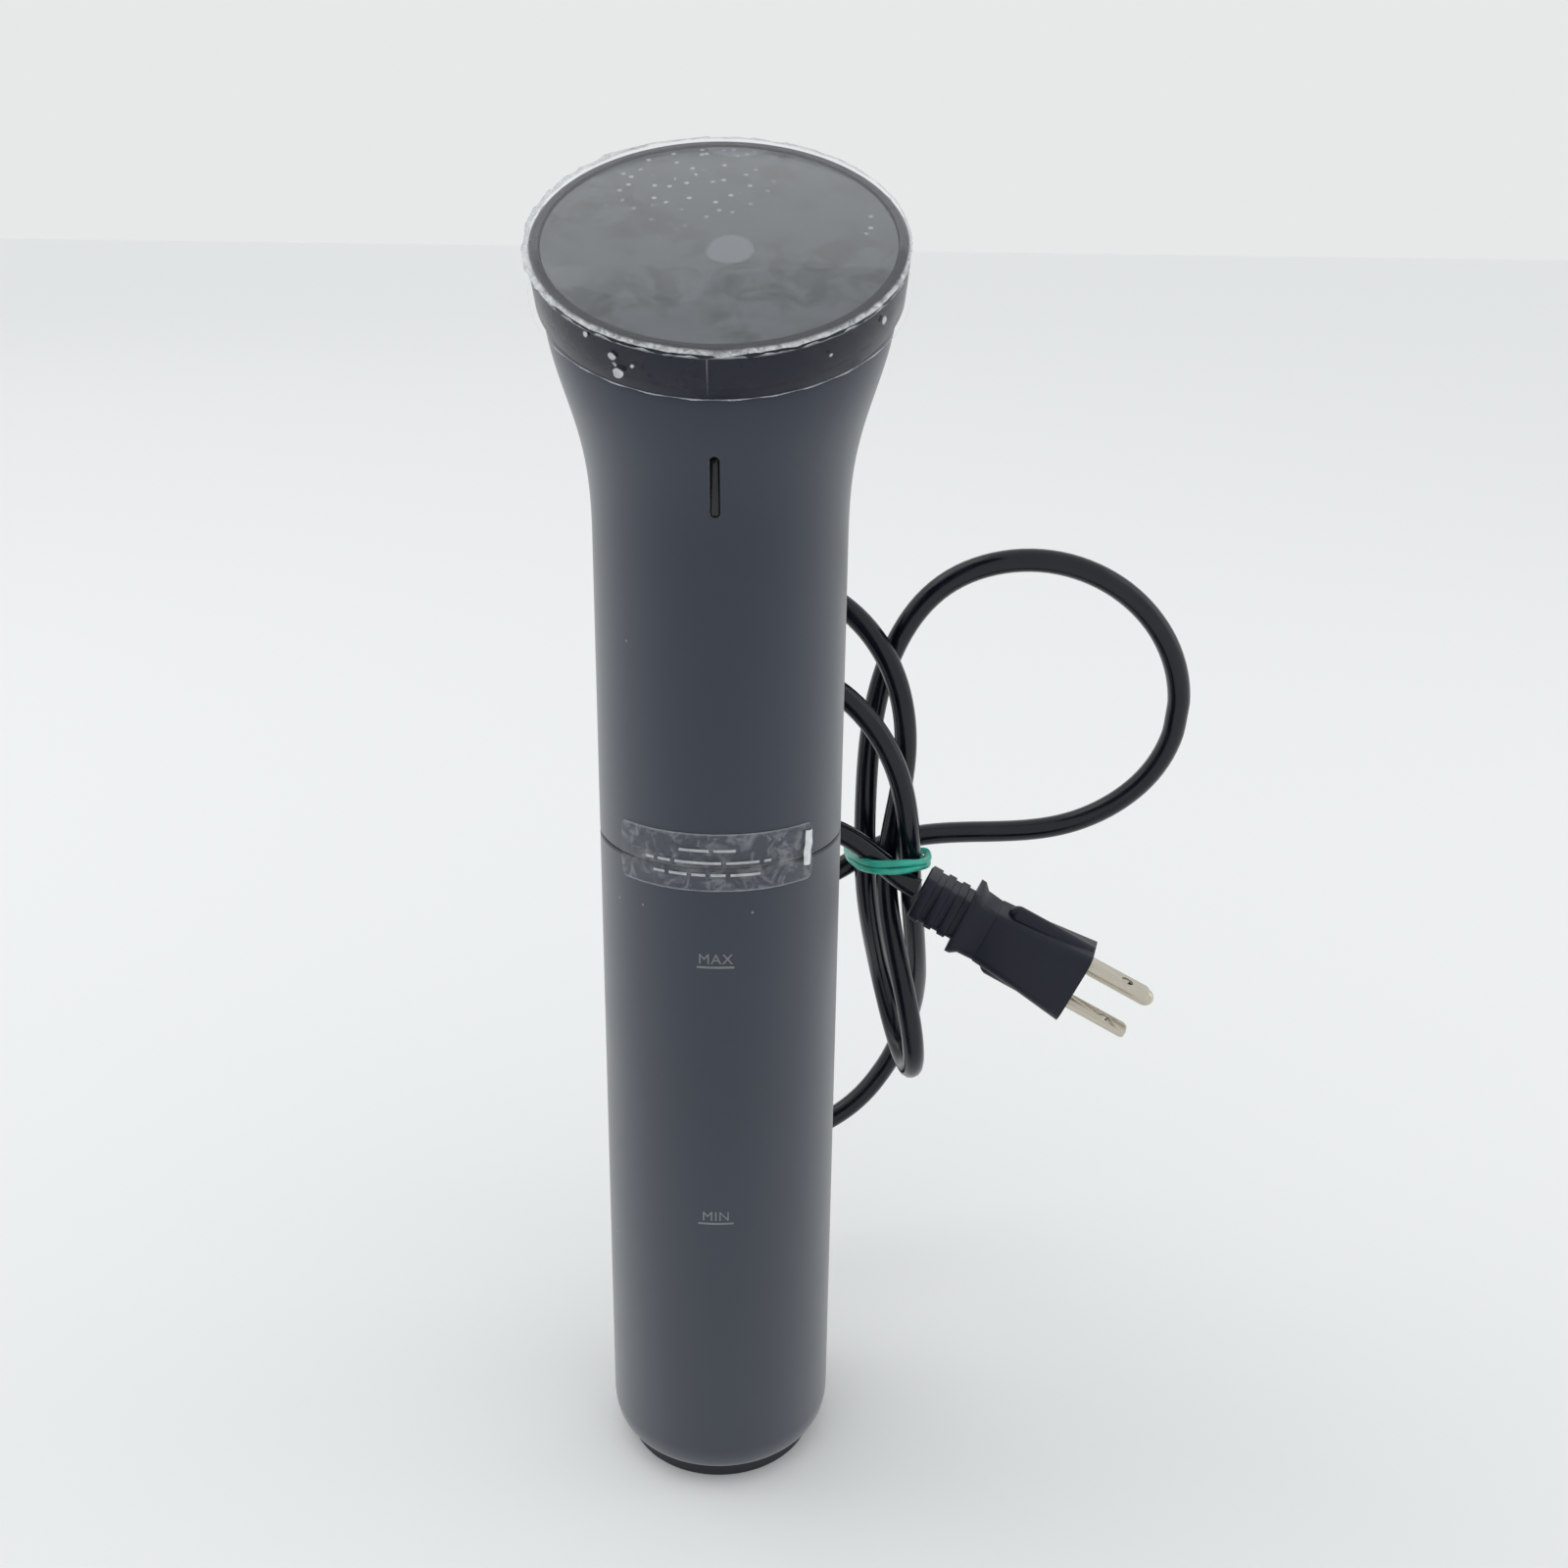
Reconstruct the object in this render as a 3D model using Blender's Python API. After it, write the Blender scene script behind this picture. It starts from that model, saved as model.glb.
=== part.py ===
"""Immersion circulator for sous vide cooking, as separate pieces.

Metres, +Z up. The circulator stands on its foot: the origin is on the axis of the body, in the plane that the
foot rests on, and the slanted face looks towards -Y. The mains cord leaves at the back and is tied in a bundle
behind the body.
"""

import math

import bmesh
import bpy
import numpy as np
from mathutils import Matrix, Vector

# Clearances
GAP = 0.0003  # between pieces that touch
RUNNING_GAP = 0.0006  # round a turning piece

# Body
BODY_RADIUS = 0.0287
HOUSING_WALL = 0.0022
SKIRT_WALL = 0.0016
SEAM_HEIGHT = 0.173
SEAM_WIDTH = 0.0006
HOUSING_LENGTH = 0.1228  # from the seam to the middle of the bezel's lower edge
FLARE_LENGTH = 0.055
FLARE_CURVE = 1.5  # the higher, the later the housing widens
TILT_LENGTH = 0.078

# Slanted head
FACE_TILT = math.radians(31)
GLASS_RADIUS = 0.0373
GLASS_THICKNESS = 0.0016
BEZEL_LIP = 0.0026
BEZEL_HEIGHT = 0.0117
BEZEL_TAPER = 0.0004
BEZEL_STEP = 0.0015  # how far the bezel stands out from the housing
GASKET_THICKNESS = 0.0005
GASKET_WIDTH = 0.004
BEZEL_SPIGOT = 0.002
FILM_THICKNESS = 0.0002
FILM_OVERHANG = 0.0012
TOUCH_BOARD_THICKNESS = 0.0012
DISPLAY_SIZE = (0.030, 0.012, 0.0025)

# Status light
SLOT_WIDTH = 0.0022
SLOT_LENGTH = 0.013
SLOT_ABOVE_SEAM = 0.0845
LENS_RECESS = 0.0009
STATUS_BOARD_SIZE = (0.008, 0.0012, 0.020)

# Foot
FOOT_RADIUS = 0.0245
FOOT_STEP = 0.005
FOOT_PLATE = 0.0025
FOOT_WALL = 0.0020
FOOT_RIM_HEIGHT = 0.009
FOOT_HUB_RADIUS = 0.005
GRILLE_SLOT_WIDTH = 0.003
GRILLE_SLOTS = 8
SKIRT_ROUND = 0.007

# Water levels above the foot, and intake slots
MIN_LEVEL = 0.081
MAX_LEVEL = 0.149
INTAKE_SLOTS = 5
INTAKE_SLOT_WIDTH = 0.003
INTAKE_LENGTH = 0.038
INTAKE_BOTTOM = 0.032
INTAKE_SPACING = math.radians(17)

# Bulkhead between the wet and dry sides
BULKHEAD_LIFT = 0.003
BULKHEAD_THICKNESS = 0.005
SPIGOT_DEPTH = 0.013
SPIGOT_WALL = 0.0036
RING_SECTION = 0.0011
RING_DROP = 0.0065
SEAL_RADIUS = 0.0057
SCREW_SHANK = 0.0012
SCREW_HEAD = 0.0023
SCREW_HEAD_HEIGHT = 0.0018
BULKHEAD_SCREW_ANGLES = (90, 210, 330)

# Drive
SHAFT_RADIUS = 0.002
COUPLING_RADIUS = 0.0055
COUPLING_LENGTH = 0.0124
SHAFT_TUBE_RADIUS = 0.006
SHAFT_TUBE_WALL = 0.0016
BUSH_LENGTH = 0.008
MOUNT_FLANGE = 0.002
MOUNT_HEIGHT = 0.0124
MOUNT_WALL = 0.0015
MOTOR_RADIUS = 0.014
MOTOR_WALL = 0.0012
MOTOR_BASE = 0.002
MOTOR_HEIGHT = 0.0257
END_BELL_THICKNESS = 0.003
END_BELL_PLUG = 0.002
MAGNET_THICKNESS = 0.0022
ROTOR_LENGTH = 0.018

# Pump
SHROUD_HEIGHT = 0.021
SHROUD_WALL = 0.0015
IMPELLER_LENGTH = 0.013
IMPELLER_HUB = 0.0042
IMPELLER_TWIST = math.radians(38)
IMPELLER_BLADES = 4
BLADE_THICKNESS = 0.0016
NUT_RADIUS = 0.0036
NUT_HEIGHT = 0.0024

# Heater and probes
HEATER_TUBE = 0.003
HEATER_PITCH = 0.018
HEATER_TOP_DROP = 0.034
HEATER_LEG_ANGLE = math.radians(60)
HEATER_ABOVE_SHROUD = 0.030
PROBE_RADIUS = 0.0012
TEMPERATURE_PROBE_RADIUS = 0.0015
TEMPERATURE_PROBE_END = 0.070
PROBE_ANGLES = {"min_level_probe": 150, "max_level_probe": 178, "temperature_probe": 255}

# Boards
BOARD_THICKNESS = 0.0016
BOARD_INSET = 0.0045
BOARD_HEADROOM = 0.012
CONTROL_BOARD_FRONT = -0.009
POWER_BOARD_FRONT = 0.0015
FRAME_THICKNESS = 0.002
FRAME_POST = (0.004, 0.0155)
FRAME_POST_OFFSET = 0.016
BOARD_SCREW_LIFT = 0.0105

# Label and films
LABEL_HEIGHT = 0.0137
LABEL_CENTRE = SEAM_HEIGHT + 0.0017
LABEL_HALF_ANGLE = math.radians(48)

# Cord, plug and tie
CORD_RADIUS = 0.00305
CORD_POINTS = 80
GLAND_HEIGHT_ABOVE_SEAM = 0.073
GLAND_STUB = 0.0052
GLAND_COLLAR = 0.0068
GLAND_TIP_RADIUS = 0.0043
TIE_RADIUS = 0.0012
CORD_START = Vector((0, 0.049, 0.235))
CORD_START_DIRECTION = Vector((0, 0.64, -0.77)).normalized()
PLUG_START = Vector((0.0525, 0.044, 0.1375))
PLUG_AXIS = Vector((0.879, -0.256, -0.402)).normalized()
PLUG_SIDE = Vector((-0.388, 0.105, -0.916))
PLUG_FRONT = 0.0484
BLADE_SPACING = 0.0127
BLADE_WIDTH = 0.00635
CONTACT_THICKNESS = 0.0015
BLADE_LENGTH = 0.0179
BLADE_HOLE_RADIUS = 0.0016
BLADE_HOLE_DISTANCE = 0.0114
GROUND_OFFSET = 0.0119
GROUND_RADIUS = 0.0024
GROUND_LENGTH = 0.0218
CONTACT_DEPTH = 0.006
BLADE_LINE = -0.0021

# The cord's route, from the strain relief to the plug.
CORD_ROUTE = [
    (0.0, 0.049, 0.235), (-0.003, 0.0585, 0.211), (-0.008, 0.060, 0.178), (-0.006, 0.063, 0.148),
    (0.005, 0.0665, 0.130), (0.022, 0.0695, 0.1285), (0.043, 0.0715, 0.1395), (0.097, 0.074, 0.1465),
    (0.118, 0.068, 0.164), (0.1225, 0.061, 0.188), (0.108, 0.055, 0.2155), (0.082, 0.054, 0.227),
    (0.057, 0.0585, 0.2195), (0.0425, 0.062, 0.196), (0.038, 0.062, 0.160), (0.039, 0.0635, 0.130),
    (0.0425, 0.072, 0.108), (0.0455, 0.0775, 0.0935), (0.049, 0.0725, 0.081), (0.0524, 0.059, 0.0755),
    (0.0532, 0.0472, 0.083), (0.0508, 0.0432, 0.101), (0.0442, 0.056, 0.136), (0.0478, 0.054, 0.172),
    (0.0415, 0.054, 0.201), (0.018, 0.063, 0.218), (-0.012, 0.065, 0.211), (-0.027, 0.058, 0.150),
    (-0.019, 0.064, 0.061), (0.006, 0.0745, 0.0395), (0.040, 0.0825, 0.050), (0.054, 0.083, 0.077),
    (0.0545, 0.067, 0.105), (0.0504, 0.052, 0.140), (0.045, 0.0445, 0.172), (0.020, 0.0435, 0.199),
    (-0.012, 0.0445, 0.196), (-0.013, 0.045, 0.166), (0.0307, 0.0453, 0.1536), (0.0517, 0.0442, 0.1379),
]

# The band round the bundle, as a closed loop.
TIE_LOOP = [
    (0.0330, 0.060, 0.1420), (0.0345, 0.049, 0.1440), (0.0400, 0.0400, 0.1458), (0.0475, 0.0405, 0.1460),
    (0.0540, 0.0465, 0.1445), (0.0560, 0.0560, 0.1420), (0.0555, 0.0670, 0.1390), (0.0500, 0.0755, 0.1365),
    (0.0420, 0.0775, 0.1380), (0.0350, 0.0740, 0.1405),
]

# Heights and radii that follow from the sizes above
HOUSING_BOTTOM = SEAM_HEIGHT + SEAM_WIDTH / 2
SKIRT_TOP = SEAM_HEIGHT - SEAM_WIDTH / 2
HEAD_HEIGHT = SEAM_HEIGHT + HOUSING_LENGTH
BEZEL_RADIUS = GLASS_RADIUS + BEZEL_LIP
BEZEL_FOOT_RADIUS = BEZEL_RADIUS - BEZEL_TAPER
FLARE_RADIUS = BEZEL_FOOT_RADIUS - BEZEL_STEP
HOUSING_INNER = BODY_RADIUS - HOUSING_WALL
SKIRT_INNER = BODY_RADIUS - SKIRT_WALL
FIT_RADIUS = HOUSING_INNER - GAP
SPIGOT_INNER = FIT_RADIUS - SPIGOT_WALL
SCREW_CIRCLE = SPIGOT_INNER - SCREW_HEAD - GAP
PROBE_CIRCLE = SPIGOT_INNER - TEMPERATURE_PROBE_RADIUS - 2 * GAP
LEDGE_RADIUS = PROBE_CIRCLE + TEMPERATURE_PROBE_RADIUS + GAP
HEATER_RADIUS = PROBE_CIRCLE - TEMPERATURE_PROBE_RADIUS - 2 * GAP - HEATER_TUBE
BULKHEAD_BOTTOM = SEAM_HEIGHT + BULKHEAD_LIFT
BULKHEAD_TOP = BULKHEAD_BOTTOM + BULKHEAD_THICKNESS
LEDGE_BOTTOM = BULKHEAD_TOP + GAP
LEDGE_TOP = LEDGE_BOTTOM + 0.002
MOUNT_BOTTOM = LEDGE_TOP + GAP
MOUNT_TOP = MOUNT_BOTTOM + MOUNT_HEIGHT + MOUNT_FLANGE
MOTOR_BOTTOM = MOUNT_TOP + GAP
MOTOR_TOP = MOTOR_BOTTOM + MOTOR_HEIGHT
FRAME_BOTTOM = MOTOR_TOP + END_BELL_THICKNESS + 2 * GAP
FRAME_TOP = FRAME_BOTTOM + FRAME_THICKNESS
BORE_RADIUS = SHAFT_RADIUS + GAP
FOOT_NECK = FOOT_RADIUS - FOOT_WALL
SHROUD_BOTTOM = FOOT_RIM_HEIGHT + GAP
SHROUD_TOP = SHROUD_BOTTOM + SHROUD_HEIGHT
SHROUD_INNER = FOOT_NECK - 0.0067
IMPELLER_BOTTOM = SHROUD_BOTTOM + 0.0045
IMPELLER_TOP = IMPELLER_BOTTOM + IMPELLER_LENGTH
SHAFT_TUBE_BOTTOM = SHROUD_TOP + 0.003
HEATER_TOP = BULKHEAD_BOTTOM - HEATER_TOP_DROP
HEATER_BOTTOM = SHROUD_TOP + HEATER_ABOVE_SHROUD

HEAD = Matrix.Translation((0, 0, HEAD_HEIGHT)) @ Matrix.Rotation(FACE_TILT, 4, "X")
FACE = HEAD @ Matrix.Translation((0, 0, BEZEL_HEIGHT))
PLUG_SIDE = (PLUG_SIDE - PLUG_SIDE.dot(PLUG_AXIS) * PLUG_AXIS).normalized()
PLUG = Matrix.Translation(PLUG_START) @ Matrix((PLUG_SIDE, PLUG_AXIS.cross(PLUG_SIDE), PLUG_AXIS)).transposed().to_4x4()


def clear_scene():
    for obj in list(bpy.data.objects):
        bpy.data.objects.remove(obj, do_unlink=True)


def material(name, colour, roughness, metallic=0.0):
    made = bpy.data.materials.get(name)
    if made is None:
        made = bpy.data.materials.new(name)
        made.use_nodes = True
        shader = made.node_tree.nodes["Principled BSDF"]
        shader.inputs["Base Color"].default_value = (*colour, 1)
        shader.inputs["Roughness"].default_value = roughness
        shader.inputs["Metallic"].default_value = metallic
    return made


FINISHES = {
    "black_plastic": ((0.050, 0.056, 0.068), 0.55, 0.0),
    "gloss_black": ((0.018, 0.020, 0.030), 0.12, 0.0),
    "smoked_glass": ((0.06, 0.07, 0.08), 0.08, 0.0),
    "clear_film": ((0.75, 0.76, 0.78), 0.25, 0.0),
    "dark_rubber": ((0.020, 0.020, 0.026), 0.45, 0.0),
    "nickel": ((0.62, 0.58, 0.52), 0.28, 1.0),
    "steel": ((0.60, 0.60, 0.62), 0.25, 1.0),
    "circuit_board": ((0.03, 0.20, 0.09), 0.50, 0.0),
    "white_plastic": ((0.80, 0.80, 0.78), 0.50, 0.0),
    "green_band": ((0.02, 0.36, 0.24), 0.50, 0.0),
    "blue_part": ((0.05, 0.16, 0.42), 0.45, 0.0),
    "copper": ((0.72, 0.36, 0.20), 0.35, 1.0),
}


def finished(name, mesh, finish):
    """Links a mesh as the object NAME, shaded smooth up to 35 degrees."""
    obj = bpy.data.objects.new(name, mesh)
    bpy.context.scene.collection.objects.link(obj)
    if finish is None:
        obj.hide_render = True
        obj.display_type = "WIRE"
        return obj
    obj.data.materials.append(material(finish, *FINISHES[finish]))
    if obj.type == "MESH":
        mesh.shade_smooth()
        mesh.set_sharp_from_angle(angle=math.radians(35))
    return obj


def from_bmesh(name, shape, finish, place=None):
    bmesh.ops.recalc_face_normals(shape, faces=shape.faces)
    if place is not None:
        shape.transform(place)
    mesh = bpy.data.meshes.new(name)
    shape.to_mesh(mesh)
    shape.free()
    return finished(name, mesh, finish)


def turned(name, profile, finish, place=None, steps=48):
    """A closed profile of (radius, height) points, spun round Z. Points on the axis have radius 0."""
    shape = bmesh.new()
    corners = [shape.verts.new((radius, 0, height)) for radius, height in profile]
    edges = [
        shape.edges.new((first, second))
        for first, second in zip(corners, corners[1:] + corners[:1])
        if first.co.x > 0 or second.co.x > 0
    ]
    bmesh.ops.spin(
        shape, geom=corners + edges, cent=(0, 0, 0), axis=(0, 0, 1), angle=2 * math.pi, steps=steps, use_merge=True
    )
    bmesh.ops.remove_doubles(shape, verts=shape.verts, dist=1e-6)
    return from_bmesh(name, shape, finish, place)


def lofted(name, rings, finish, place=None, closed=False):
    """Skins rings of equally many points. The ends are capped, or joined to each other when closed."""
    shape = bmesh.new()
    rows = [[shape.verts.new(point) for point in ring] for ring in rings]
    pairs = list(zip(rows, rows[1:]))
    if closed:
        pairs.append((rows[-1], rows[0]))
    for low, high in pairs:
        count = len(low)
        for i in range(count):
            j = (i + 1) % count
            shape.faces.new((low[i], low[j], high[j], high[i]))
    if not closed:
        shape.faces.new(rows[0][::-1])
        shape.faces.new(rows[-1])
    return from_bmesh(name, shape, finish, place)


def block(name, low, high, finish, place=None, bevel=0.0):
    shape = bmesh.new()
    bmesh.ops.create_cube(shape, size=1)
    low, high = Vector(low), Vector(high)
    size = high - low
    for corner in shape.verts:
        corner.co = Vector(c * s for c, s in zip(corner.co, size)) + (low + high) / 2
    if bevel:
        bmesh.ops.bevel(shape, geom=list(shape.edges), offset=bevel, segments=2, profile=0.5, affect="EDGES")
    return from_bmesh(name, shape, finish, place)


def rod(name, radius, low, high, finish, place=None, steps=24):
    return turned(name, [(0, low), (radius, low), (radius, high), (0, high)], finish, place, steps)


def at_angle(radius, degrees, height=0.0):
    turn = math.radians(degrees)
    return Matrix.Translation((radius * math.cos(turn), radius * math.sin(turn), height))


def joined(name, pieces):
    """One mesh from several hidden cutters that don't touch each other."""
    shape = bmesh.new()
    for piece in pieces:
        shape.from_mesh(piece.data)
        bpy.data.objects.remove(piece, do_unlink=True)
    return from_bmesh(name, shape, None)


def boolean(obj, cutter, operation="DIFFERENCE"):
    step = obj.modifiers.new(operation.lower() + "_" + cutter.name, "BOOLEAN")
    step.operation = operation
    step.solver = "EXACT"
    step.object = cutter


def ease(value):
    value = min(max(value, 0.0), 1.0)
    return value * value * (3 - 2 * value)


def capsule_outline(width, length, steps=8):
    """Points of an upright slot with round ends, in X and Z, about the origin."""
    straight = length / 2 - width / 2
    turns = [math.pi * i / steps for i in range(steps + 1)]
    upper = [(width / 2 * math.cos(t), straight + width / 2 * math.sin(t)) for t in turns]
    return upper + [(-x, -z) for x, z in upper]


def rounded_outline(half_x, half_y, centre_y, radius, steps=3):
    points = []
    for quarter in range(4):
        sign_x = 1 if quarter in (0, 3) else -1
        sign_y = 1 if quarter in (0, 1) else -1
        for i in range(steps + 1):
            turn = math.pi / 2 * (quarter + i / steps)
            points.append((
                sign_x * (half_x - radius) + radius * math.cos(turn),
                centre_y + sign_y * (half_y - radius) + radius * math.sin(turn),
            ))
    return points


def smooth_curve(route, count, start=None, end=None):
    """Points evenly spaced along a natural cubic spline through the route, whose end directions can be given."""
    points = np.array([tuple(p) for p in route])
    knots = np.concatenate([[0], np.cumsum(np.linalg.norm(np.diff(points, axis=0), axis=1))])
    steps = np.diff(knots)
    slopes = np.diff(points, axis=0) / steps[:, None]
    matrix = np.eye(len(points))
    right = np.zeros_like(points)
    for i in range(1, len(points) - 1):
        matrix[i, i - 1 : i + 2] = steps[i - 1], 2 * (steps[i - 1] + steps[i]), steps[i]
        right[i] = 6 * (slopes[i] - slopes[i - 1])
    if start is not None:
        matrix[0, :2] = 2 * steps[0], steps[0]
        right[0] = 6 * (slopes[0] - np.array(start))
    if end is not None:
        matrix[-1, -2:] = steps[-1], 2 * steps[-1]
        right[-1] = 6 * (np.array(end) - slopes[-1])
    bends = np.linalg.solve(matrix, right)

    def position(at):
        i = min(int(np.searchsorted(knots, at, side="right")) - 1, len(steps) - 1)
        before, after, step = at - knots[i], knots[i + 1] - at, steps[i]
        return (
            (bends[i] * after**3 + bends[i + 1] * before**3) / (6 * step)
            + (points[i] / step - bends[i] * step / 6) * after
            + (points[i + 1] / step - bends[i + 1] * step / 6) * before
        )

    fine = np.array([position(at) for at in np.linspace(0, knots[-1], 20 * len(points))])
    run = np.concatenate([[0], np.cumsum(np.linalg.norm(np.diff(fine, axis=0), axis=1))])
    even = np.linspace(0, run[-1], count)
    return [Vector(np.interp(at, run, fine[:, axis]) for axis in range(3)) for at in even]


def tube(name, points, radius, finish, resolution=2, cyclic=False):
    """A round tube along the points, as a curve with a bevel and filled caps."""
    curve = bpy.data.curves.new(name, "CURVE")
    curve.dimensions = "3D"
    curve.bevel_depth = radius
    curve.bevel_resolution = resolution
    curve.use_fill_caps = not cyclic
    spline = curve.splines.new("POLY")
    spline.points.add(len(points) - 1)
    for target, point in zip(spline.points, points):
        target.co = (*point, 1)
        target.radius = 1
    spline.use_cyclic_u = cyclic
    spline.use_smooth = True
    return finished(name, curve, finish)


def screw(name, place, shank, finish="steel"):
    """A pan-head screw: its head's seat is at the origin, and its shank runs up +Z."""
    profile = [
        (0, -SCREW_HEAD_HEIGHT), (SCREW_HEAD * 0.7, -SCREW_HEAD_HEIGHT), (SCREW_HEAD, -SCREW_HEAD_HEIGHT * 0.55),
        (SCREW_HEAD, 0), (SCREW_SHANK, 0), (SCREW_SHANK, shank - SCREW_SHANK / 2), (0, shank),
    ]
    return turned(name, profile, finish, place, steps=12)


# ---- Head ----

def flare_radius(height):
    along = (height - (HEAD_HEIGHT - FLARE_LENGTH)) / FLARE_LENGTH
    return BODY_RADIUS + (FLARE_RADIUS - BODY_RADIUS) * ease(max(along, 0.0) ** FLARE_CURVE)


def housing_ring(height, inward, steps=48):
    """A ring of the housing's skin, which leans more and more towards the slanted head."""
    tilt = FACE_TILT * ease((height - (HEAD_HEIGHT - TILT_LENGTH)) / TILT_LENGTH)
    radius = flare_radius(height) - inward
    place = Matrix.Translation((0, 0, height)) @ Matrix.Rotation(tilt, 4, "X")
    turns = [2 * math.pi * i / steps for i in range(steps)]
    return [place @ Vector((radius * math.cos(t), radius * math.sin(t), 0)) for t in turns]


def build_upper_housing():
    top = HEAD_HEIGHT - GAP / math.cos(FACE_TILT)
    tilt_start = HEAD_HEIGHT - TILT_LENGTH
    count = 9
    heights = [tilt_start + (top - tilt_start) * i / count for i in range(count + 1)]
    outer = [housing_ring(h, 0) for h in [HOUSING_BOTTOM] + heights]
    ledge = HOUSING_INNER - LEDGE_RADIUS
    inner_levels = [
        (HOUSING_BOTTOM, 0), (LEDGE_BOTTOM, 0), (LEDGE_BOTTOM, ledge), (LEDGE_TOP, ledge), (LEDGE_TOP, 0),
    ]
    inner = [housing_ring(h, HOUSING_WALL + extra) for h, extra in inner_levels]
    inner += [housing_ring(h, HOUSING_WALL) for h in heights[::3]]
    housing = lofted("upper_housing", outer + inner[::-1], "black_plastic", closed=True)

    slot_height = SEAM_HEIGHT + SLOT_ABOVE_SEAM
    outline = capsule_outline(SLOT_WIDTH, SLOT_LENGTH)
    depths = (-BODY_RADIUS - 0.010, -HOUSING_INNER + 0.004)
    slot = lofted("slot_cutter", [[(x, y, slot_height + z) for x, z in outline] for y in depths], None)
    boolean(housing, slot)
    along_y = Matrix.Translation((0, 0, SEAM_HEIGHT + GLAND_HEIGHT_ABOVE_SEAM)) @ Matrix.Rotation(-math.pi / 2, 4, "X")
    hole = rod("cord_hole_cutter", GLAND_STUB + GAP, HOUSING_INNER - 0.006, BODY_RADIUS + 0.008, None, along_y)
    boolean(housing, hole)


def build_head():
    glass_bottom = -GAP - GLASS_THICKNESS
    gasket_top = glass_bottom - GAP
    ledge_top = gasket_top - GASKET_THICKNESS - GAP
    ledge_inner = GLASS_RADIUS + GAP - GASKET_WIDTH - 2 * GAP
    spigot_outer = FLARE_RADIUS - HOUSING_WALL - 3 * GAP - BEZEL_SPIGOT * math.sin(FACE_TILT)
    bezel = [
        (BEZEL_FOOT_RADIUS, -BEZEL_HEIGHT), (BEZEL_RADIUS - 0.0001, -BEZEL_HEIGHT * 0.45),
        (BEZEL_RADIUS, -0.0016), (BEZEL_RADIUS - 0.0002, -0.0008), (BEZEL_RADIUS - 0.0007, -0.0002),
        (BEZEL_RADIUS - 0.0012, 0), (GLASS_RADIUS + GAP, 0), (GLASS_RADIUS + GAP, ledge_top),
        (ledge_inner, ledge_top), (ledge_inner, -BEZEL_HEIGHT - BEZEL_SPIGOT),
        (spigot_outer, -BEZEL_HEIGHT - BEZEL_SPIGOT), (spigot_outer, -BEZEL_HEIGHT),
    ]
    turned("head_bezel", bezel, "gloss_black", FACE, steps=56)
    edge = 0.0003
    glass = [
        (0, glass_bottom), (GLASS_RADIUS, glass_bottom), (GLASS_RADIUS, -GAP - edge), (GLASS_RADIUS - edge, -GAP),
        (0, -GAP),
    ]
    turned("display_glass", glass, "smoked_glass", FACE, steps=56)
    gasket_inner = GLASS_RADIUS - GASKET_WIDTH
    gasket_bottom = gasket_top - GASKET_THICKNESS
    gasket = [
        (gasket_inner, gasket_bottom), (GLASS_RADIUS, gasket_bottom), (GLASS_RADIUS, gasket_top),
        (gasket_inner, gasket_top),
    ]
    turned("glass_gasket", gasket, "dark_rubber", FACE, steps=40)
    rod("screen_film", BEZEL_RADIUS + FILM_OVERHANG, GAP, GAP + FILM_THICKNESS, "clear_film", FACE, steps=56)
    band_inner = BEZEL_RADIUS + GAP
    band = [
        (band_inner, 0.0008 - BEZEL_HEIGHT), (band_inner + FILM_THICKNESS, 0.0008 - BEZEL_HEIGHT),
        (band_inner + FILM_THICKNESS, -0.0012), (band_inner, -0.0012),
    ]
    turned("band_film", band, "clear_film", FACE, steps=56)
    touch_top = glass_bottom - GAP
    touch_bottom = touch_top - TOUCH_BOARD_THICKNESS
    rod("touch_board", ledge_inner - 2 * GAP, touch_bottom, touch_top, "circuit_board", FACE, steps=48)
    width, depth, height = DISPLAY_SIZE
    display_top = touch_bottom - GAP
    block(
        "display_module", (-width / 2, -depth / 2, display_top - height), (width / 2, depth / 2, display_top),
        "white_plastic", FACE,
    )


def build_status_light():
    centre = SEAM_HEIGHT + SLOT_ABOVE_SEAM
    outline = capsule_outline(SLOT_WIDTH - 2 * GAP, SLOT_LENGTH - 2 * GAP)
    width, thickness, height = STATUS_BOARD_SIZE
    front = -BODY_RADIUS + LENS_RECESS
    back = -HOUSING_INNER + 0.0035
    lofted("status_lens", [[(x, y, centre + z) for x, z in outline] for y in (front, back)], "gloss_black")
    board_front = back + GAP
    block(
        "status_board", (-width / 2, board_front, centre - height / 2),
        (width / 2, board_front + thickness, centre + height / 2), "circuit_board",
    )


# ---- Boards inside the housing ----

def board_top(depth):
    """The height that a board at this depth may reach under the slanted head."""
    return HEAD_HEIGHT + depth * math.tan(FACE_TILT) - BOARD_HEADROOM * 0.5


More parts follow.
